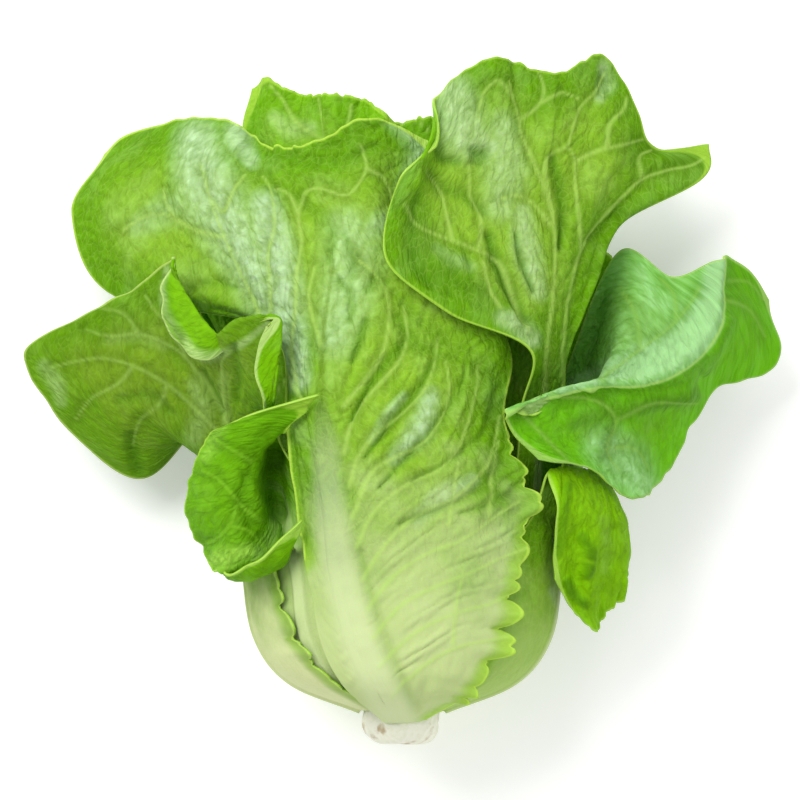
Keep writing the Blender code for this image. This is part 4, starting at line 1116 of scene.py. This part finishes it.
# %% Leaf tissue
def build_tissue_group():
    """Leaf colour from the fields of a leaf: margin, blade, bloom with painted sheen, folds with painted
    shade, painted shade between blisters, veins, ribs and foot.
    """
    group = bpy.data.node_groups.new("leaf_tissue", "ShaderNodeTree")
    face = group.interface
    for title in ("Margin", "Blade", "Bloom and sheen", "Painted shade", "Vein", "Midrib", "Foot", "Hem"):
        face.new_socket(title, in_out="INPUT", socket_type="NodeSocketColor")
    for title in ("Edge", "Veins", "Rib", "Swell", "Way", "Fold and shade", "Wax and sheen", "Net", "Margin reach",
                  "Foot reach"):
        face.new_socket(title, in_out="INPUT", socket_type="NodeSocketFloat")
    face.new_socket("Map", in_out="INPUT", socket_type="NodeSocketVector")
    face.new_socket("Colour", in_out="OUTPUT", socket_type="NodeSocketColor")
    face.new_socket("Roughness", in_out="OUTPUT", socket_type="NodeSocketFloat")
    start = add_node(group, "NodeGroupInput", (-1300, 0))
    end = add_node(group, "NodeGroupOutput", (1100, 0))
    given = start.outputs

    cloud = noise_on(group, given["Map"], 5, 4, (-1100, 400)).outputs["Fac"]
    streak = noise_on(group, given["Map"], 28, 5, (-1100, 150)).outputs["Fac"]

    drift = work_out(group, "MULTIPLY_ADD", cloud, 2.0, (-900, 400), -0.1)
    worn = work_out(group, "MULTIPLY", given["Edge"], drift, (-720, 300))
    share = work_out(group, "DIVIDE", worn, given["Margin reach"], (-550, 300))
    inside = ramp_between(group, share, 0.1, 1.1, (-380, 300))
    colour = blend_colours(group, inside, given["Margin"], given["Blade"], (-200, 400))
    # Pale wax from the strokes and in random patches, heaviest on the raised tops of the blisters, where it
    # also paints sheen and highlights.
    dust = ramp_between(group, cloud, 0.45, 0.68, (-560, 600))
    dust_and_sheen = work_out(group, "MULTIPLY", dust, given["Swell"], (-380, 600))
    dust_and_sheen = work_out(group, "MULTIPLY", dust_and_sheen, 0.12, (-200, 600))
    raised = work_out(group, "MULTIPLY_ADD", given["Swell"], 0.55, (-380, 900), 0.4)
    grained = work_out(group, "MULTIPLY_ADD", streak, 1.6, (-380, 750), 0.2)
    wax_and_sheen = work_out(group, "MULTIPLY", given["Wax and sheen"], raised, (-200, 900))
    wax_and_sheen = work_out(group, "MULTIPLY", wax_and_sheen, grained, (-200, 750))
    wax_and_sheen = work_out(group, "MAXIMUM", wax_and_sheen, dust_and_sheen, (0, 650))
    colour = blend_colours(group, wax_and_sheen, colour, given["Bloom and sheen"], (0, 450))
    # Painted shade: folds, hollows and the places under other leaves are mixed towards a dark green.
    fold_shading = work_out(group, "MULTIPLY", given["Fold and shade"], 0.85, (0, 250))
    colour = blend_colours(group, fold_shading, colour, given["Painted shade"], (180, 400))

    # Painted shade and light: darker in the grooves between the blisters and lighter on their tops, times a
    # random speckle.
    blister_shading = work_out(group, "MULTIPLY_ADD", given["Swell"], 0.38, (0, 100), 0.62)
    speckle = work_out(group, "MULTIPLY_ADD", streak, 0.3, (0, -50), 0.85)
    shade = work_out(group, "MULTIPLY", blister_shading, speckle, (180, 50))
    grey = add_node(group, "ShaderNodeCombineColor", (330, 50))
    for channel in ("Red", "Green", "Blue"):
        group.links.new(shade, grey.inputs[channel])
    colour = blend_colours(group, 1.0, colour, grey.outputs["Color"], (430, 300), "MULTIPLY")

    stretch = work_out(group, "MULTIPLY_ADD", cloud, 0.8, (0, -300), 0.6)
    reach = work_out(group, "MULTIPLY", given["Foot reach"], stretch, (180, -300))
    far = work_out(group, "DIVIDE", given["Way"], reach, (330, -300))
    near = ramp_between(group, far, 1.15, 0.35, (480, -300))
    frill = ramp_between(group, given["Edge"], 1.5, 9.0, (480, -450))
    frill = work_out(group, "MULTIPLY_ADD", frill, 0.9, (560, -450), 0.1)
    frilled = work_out(group, "SUBTRACT", 1.0, frill, (640, -500))
    frilled = work_out(group, "MULTIPLY", frilled, near, (720, -500))
    frilled = work_out(group, "MULTIPLY", frilled, 0.6, (800, -500))
    near = work_out(group, "MULTIPLY", near, frill, (600, -300))
    # Painted shade also keeps the pale foot colour out of the folds.
    grooved = work_out(group, "MULTIPLY_ADD", given["Fold and shade"], -0.65, (560, -200), 1.0)
    near = work_out(group, "MULTIPLY", near, grooved, (680, -300))
    colour = blend_colours(group, near, colour, given["Foot"], (640, 200))
    colour = blend_colours(group, frilled, colour, given["Hem"], (700, 300))

    faint = work_out(group, "MULTIPLY", given["Net"], 0.13, (480, -120))
    strong = work_out(group, "MULTIPLY", given["Veins"], 0.5, (480, -20))
    lines = work_out(group, "MAXIMUM", faint, strong, (640, -60))
    colour = blend_colours(group, lines, colour, given["Vein"], (780, 150))
    whiter = work_out(group, "MULTIPLY_ADD", near, -0.6, (780, -150), 1.0)
    whiter = work_out(group, "MULTIPLY", whiter, given["Rib"], (860, -150))
    colour = blend_colours(group, whiter, colour, given["Midrib"], (900, 150))
    hem = ramp_between(group, given["Edge"], 1.3, 0.3, (780, 350))
    hem = work_out(group, "MULTIPLY", hem, 0.75, (900, 350))
    colour = blend_colours(group, hem, colour, given["Hem"], (1000, 150))
    rough = work_out(group, "MULTIPLY_ADD", streak, 0.25, (900, -250), 0.46)
    group.links.new(colour, end.inputs["Colour"])
    group.links.new(rough, end.inputs["Roughness"])
    return group


TISSUE = build_tissue_group()
print("leaf tissue:", len(TISSUE.nodes), "nodes")


# %% Leaf materials
def leaf_finish(name, tones, margin_reach=30, foot_reach=95, cells=30):
    """A waxy leaf face: its colours from the leaf tissue group, its surface from the vein net."""
    made, tree, shader = new_finish(name)
    sheet_map = add_node(tree, "ShaderNodeUVMap", (-900, -200), uv_map="leaf")
    net = add_node(tree, "ShaderNodeGroup", (-650, -300), node_tree=NET)
    net.inputs["Cells"].default_value = cells
    tree.links.new(sheet_map.outputs["UV"], net.inputs["Map"])
    tissue = add_node(tree, "ShaderNodeGroup", (-350, 100), node_tree=TISSUE)
    for title, colour in tones.items():
        tissue.inputs[title].default_value = (*colour, 1)
    tissue.inputs["Margin reach"].default_value = margin_reach
    tissue.inputs["Foot reach"].default_value = foot_reach
    for step, (title, field) in enumerate((("Edge", "edge"), ("Veins", "vein"), ("Rib", "rib"),
                                           ("Swell", "swell"), ("Way", "foot"), ("Fold and shade", "fold_and_shade"),
                                           ("Wax and sheen", "bloom_and_sheen"))):
        reader = add_node(tree, "ShaderNodeAttribute", (-900, 500 - 160 * step), attribute_name=field)
        tree.links.new(reader.outputs["Fac"], tissue.inputs[title])
        if title == "Way":
            blade = ramp_between(tree, reader.outputs["Fac"], 50, 130, (-650, -550))
        if title == "Rib":
            ribbed = ramp_between(tree, reader.outputs["Fac"], 0.4, 0.0, (-650, -700))
        if title == "Swell":
            crumpled = work_out(tree, "MULTIPLY", net.outputs["Crumple"], 0.3, (-650, 20))
            swelling = work_out(tree, "MULTIPLY_ADD", reader.outputs["Fac"], 0.75, (-500, 20), crumpled)
            tree.links.new(swelling, tissue.inputs["Swell"])
    tree.links.new(net.outputs["Lines"], tissue.inputs["Net"])
    tree.links.new(sheet_map.outputs["UV"], tissue.inputs["Map"])
    stretched = add_node(tree, "ShaderNodeVectorMath", (-900, -850), operation="MULTIPLY")
    stretched.inputs[1].default_value = (75, 5, 1)
    tree.links.new(sheet_map.outputs["UV"], stretched.inputs[0])
    fibres = noise_on(tree, stretched.outputs[0], 1, 4, (-650, -850))
    free = work_out(tree, "MULTIPLY", blade, ribbed, (-450, -550))
    rugged = work_out(tree, "MULTIPLY_ADD", net.outputs["Crumple"], 1.6, (-450, -250),
                      net.outputs["Height"])
    netted = work_out(tree, "MULTIPLY", free, rugged, (-450, -400))
    height = work_out(tree, "ADD", netted, fibres.outputs["Fac"], (-350, -550))
    bump = add_node(tree, "ShaderNodeBump", (-250, -350))
    bump.inputs["Strength"].default_value = 0.4
    bump.inputs["Distance"].default_value = 0.0005
    tree.links.new(height, bump.inputs["Height"])
    tree.links.new(tissue.outputs["Colour"], shader.inputs["Base Color"])
    tree.links.new(tissue.outputs["Roughness"], shader.inputs["Roughness"])
    tree.links.new(bump.outputs["Normal"], shader.inputs["Normal"])
    shader.inputs["Subsurface Weight"].default_value = 0.12
    shader.inputs["Subsurface Radius"].default_value = (0.5, 1.0, 0.15)
    shader.inputs["Subsurface Scale"].default_value = 0.002
    shader.inputs["Specular IOR Level"].default_value = 0.06
    return made


def rim_finish(name, colour):
    """The pale rim of a blade, where its two faces meet."""
    made, _, shader = new_finish(name)
    shader.inputs["Base Color"].default_value = (*colour, 1)
    shader.inputs["Roughness"].default_value = 0.5
    shader.inputs["Subsurface Weight"].default_value = 0.3
    shader.inputs["Subsurface Radius"].default_value = (0.5, 1.0, 0.2)
    shader.inputs["Subsurface Scale"].default_value = 0.0025
    return made


# %% Colours of the leaves
# In each set the darkest green is painted shade for the folds, and the pale wax colour also paints sheen.
OUTER_BACK = {
    "Margin": (0.118, 0.315, 0.001), "Blade": (0.222, 0.425, 0.022), "Bloom and sheen": (0.40, 0.58, 0.25),
    "Painted shade": (0.065, 0.205, 0.002), "Vein": (0.42, 0.64, 0.13), "Midrib": (0.70, 0.78, 0.46),
    "Foot": (0.50, 0.61, 0.25), "Hem": (0.34, 0.58, 0.05)}
FRONT_BACK = {
    **OUTER_BACK, "Foot": (0.47, 0.57, 0.24), "Painted shade": (0.110, 0.290, 0.004),
    "Bloom and sheen": (0.42, 0.61, 0.32), "Midrib": (0.76, 0.82, 0.54), "Hem": (0.46, 0.70, 0.08)}
CUP_BACK = {
    **OUTER_BACK, "Margin": (0.120, 0.350, 0.001), "Blade": (0.125, 0.355, 0.002),
    "Bloom and sheen": (0.30, 0.58, 0.06), "Vein": (0.20, 0.46, 0.02)}
OLIVE_BACK = {
    **OUTER_BACK, "Margin": (0.115, 0.285, 0.002), "Blade": (0.165, 0.310, 0.010),
    "Bloom and sheen": (0.28, 0.45, 0.12), "Vein": (0.30, 0.48, 0.09), "Midrib": (0.40, 0.56, 0.20),
    "Foot": (0.62, 0.68, 0.34), "Hem": (0.42, 0.58, 0.13)}
RIDGED_INSIDE = {
    **OUTER_BACK, "Margin": (0.135, 0.470, 0.001), "Blade": (0.135, 0.360, 0.008),
    "Bloom and sheen": (0.33, 0.61, 0.25), "Vein": (0.25, 0.47, 0.07), "Midrib": (0.25, 0.47, 0.09),
    "Painted shade": (0.070, 0.225, 0.004), "Hem": (0.34, 0.56, 0.12)}
BRIGHT_INSIDE = {
    **OUTER_BACK, "Margin": (0.160, 0.420, 0.001), "Blade": (0.170, 0.420, 0.001),
    "Bloom and sheen": (0.28, 0.54, 0.07), "Vein": (0.20, 0.46, 0.004), "Midrib": (0.26, 0.52, 0.03),
    "Painted shade": (0.035, 0.145, 0.002), "Hem": (0.38, 0.62, 0.09)}
INNER_BACK = {
    **OUTER_BACK, "Margin": (0.150, 0.400, 0.001), "Blade": (0.240, 0.480, 0.030),
    "Bloom and sheen": (0.40, 0.60, 0.20)}
GREEN_FOOT = {
    **OUTER_BACK, "Foot": (0.34, 0.50, 0.12)}
ROLLED_LIP = {
    **BRIGHT_INSIDE, "Bloom and sheen": (0.38, 0.58, 0.17), "Hem": (0.46, 0.63, 0.20)}
CUP_INSIDE = {
    **BRIGHT_INSIDE, "Margin": (0.165, 0.430, 0.001), "Blade": (0.140, 0.385, 0.001),
    "Vein": (0.19, 0.44, 0.003)}
CURL_INSIDE = {
    **BRIGHT_INSIDE, "Margin": (0.210, 0.500, 0.001), "Blade": (0.190, 0.450, 0.001)}
HEART_FACE = {
    "Margin": (0.42, 0.60, 0.08), "Blade": (0.56, 0.68, 0.22), "Bloom and sheen": (0.62, 0.72, 0.34),
    "Painted shade": (0.30, 0.45, 0.06), "Vein": (0.72, 0.79, 0.46), "Midrib": (0.76, 0.80, 0.52),
    "Foot": (0.76, 0.79, 0.55), "Hem": (0.60, 0.72, 0.22)}

outer_back = leaf_finish("outer_leaf_back", OUTER_BACK)
front_back = leaf_finish("front_leaf_back", FRONT_BACK, foot_reach=120)
olive_back = leaf_finish("left_leaf_back", OLIVE_BACK, foot_reach=85)
cup_back = leaf_finish("low_left_leaf_back", CUP_BACK, foot_reach=105)
green_foot = leaf_finish("low_right_leaf_back", GREEN_FOOT, foot_reach=70)
ridged_inside = leaf_finish("right_leaf_inside", RIDGED_INSIDE, foot_reach=60)
bright_inside = leaf_finish("outer_leaf_inside", BRIGHT_INSIDE, foot_reach=60)
rolled_lip = leaf_finish("left_leaf_inside", ROLLED_LIP, foot_reach=60)
cup_inside = leaf_finish("low_left_leaf_inside", CUP_INSIDE, foot_reach=60)
curl_inside = leaf_finish("low_right_leaf_inside", CURL_INSIDE, foot_reach=60)
inner_back = leaf_finish("inner_leaf_back", INNER_BACK, 22)
heart_face = leaf_finish("heart_leaf_face", HEART_FACE, 14, 70)
rim = rim_finish("leaf_rim", OUTER_BACK["Hem"])
print("finishes:", sorted(finish.name for finish in bpy.data.materials))

# %% Make the leaves
FACES = {
    "front_leaf": (front_back, bright_inside, rim),
    "left_leaf": (olive_back, rolled_lip, rim),
    "low_left_leaf": (cup_back, cup_inside, rim),
    "low_right_leaf": (green_foot, curl_inside, rim),
    "right_leaf": (outer_back, ridged_inside, rim),
}
OUTER = ["front_leaf", "low_left_leaf", "low_right_leaf", "left_leaf", "right_leaf",
         "upper_right_leaf", "back_leaf", "back_left_leaf", "back_right_leaf"]
INNER = ["front_inner_leaf", "right_inner_leaf", "left_inner_leaf", "back_inner_leaf",
         "upper_inner_leaf"]
HEART = ["heart_left_leaf", "heart_right_leaf", "heart_front_leaf"]

for names, faces, slot in (
    (OUTER, (outer_back, bright_inside, rim), "outer_leaf"),
    (INNER, (inner_back, bright_inside, rim), "inner_leaf"),
    (HEART, (heart_face, heart_face, rim), "heart_leaf"),
):
    for name in names:
        leaf_piece(name, FACES.get(name, faces))
    print(slot, len(names), "leaves")

# %% [markdown]
# The stem is what the knife leaves of the head's axis. It is turned like a plug, then pushed in and
# out a little, because old leaf scars and the cut leave it uneven. It is cream inside. The cut face
# and the scars dry to brown; the finish scatters brown patches over the whole stem.

# %% Cut stem
# radius and y of the profile, from the hidden tip to the middle of the cut face
STEM_PROFILE = [(0, -76), (4, -79), (7.5, -94), (11.5, -108), (14.2, -119), (15.4, -125), (15.6, -129),
                (14.6, -132.4), (12.6, -135.2), (10, -136.8), (6, -137.4), (0, -136.8)]
STEM_RINGS, STEM_SIDES = 90, 120
LUMPS = ((2, 0.4, 0.05), (3, 1.0, 0.06), (5, 2.2, 0.03), (11, 0.4, 0.016), (17, 1.7, 0.010))


def stem_piece(finish):
    """The stem as a spun profile with lumps."""
    shape = bmesh.new()
    profile = through(STEM_PROFILE, np.linspace(0, 1, STEM_RINGS))
    line = [shape.verts.new((max(radius, 0), y, 0)) for radius, y in profile]
    edges = [shape.edges.new(pair) for pair in zip(line, line[1:])]
    bmesh.ops.spin(shape, geom=line + edges, cent=(0, 0, 0), axis=(0, 1, 0), angle=2 * math.pi,
                   steps=STEM_SIDES, use_merge=True)
    bmesh.ops.remove_doubles(shape, verts=shape.verts, dist=0.01)
    bmesh.ops.recalc_face_normals(shape, faces=shape.faces)
    for vert in shape.verts:
        turn = math.atan2(vert.co.z, vert.co.x)
        radius = math.hypot(vert.co.x, vert.co.z)
        lump = sum(size * math.sin(times * turn + phase + vert.co.y / 6) for times, phase, size in LUMPS)
        vert.co.x *= 1 + lump
        vert.co.z *= 1 + lump
        vert.co.y += 0.3 * math.sin(radius / 1.7 + 2 * turn) * (vert.co.y < -134)
        vert.co += Vector((AXIS_X, 0, AXIS_Z)) + Vector(SHIFT)
    bmesh.ops.scale(shape, verts=shape.verts, vec=(MM, MM, MM))
    mesh = bpy.data.meshes.new("fine_cut_stem")
    shape.to_mesh(mesh)
    shape.free()
    mesh.shade_smooth()
    mesh.materials.append(finish)
    made = bpy.data.objects.new("fine_cut_stem", mesh)
    bpy.context.scene.collection.objects.link(made)
    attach(made, "root")
    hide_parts("cut_stem")
    return made


def stem_finish():
    """Cream stem tissue with random flecks of green and brown, dried patches."""
    made, tree, shader = new_finish("cut_stem_tissue")
    spot = add_node(tree, "ShaderNodeTexCoord", (-1100, 0)).outputs["Object"]
    patch = noise_on(tree, spot, 110, 5, (-900, 200))
    grain = noise_on(tree, spot, 480, 4, (-900, -100))
    brown = ramp_between(tree, patch.outputs["Fac"], 0.56, 0.70, (-700, 200))
    green = ramp_between(tree, grain.outputs["Fac"], 0.4, 0.7, (-700, -100))
    green = work_out(tree, "MULTIPLY", green, 0.35, (-560, -100))
    brown = work_out(tree, "MULTIPLY", brown, 0.8, (-560, 200))
    colour = blend_colours(tree, green, (0.80, 0.80, 0.66, 1), (0.60, 0.65, 0.38, 1), (-400, 100))
    colour = blend_colours(tree, brown, colour, (0.36, 0.25, 0.10, 1), (-220, 100))
    bump = add_node(tree, "ShaderNodeBump", (-250, -250))
    bump.inputs["Strength"].default_value = 0.5
    bump.inputs["Distance"].default_value = 0.0006
    tree.links.new(patch.outputs["Fac"], bump.inputs["Height"])
    tree.links.new(colour, shader.inputs["Base Color"])
    tree.links.new(bump.outputs["Normal"], shader.inputs["Normal"])
    shader.inputs["Roughness"].default_value = 0.6
    return made


stem_piece(stem_finish())
print("cut stem:", STEM_RINGS * STEM_SIDES, "faces")
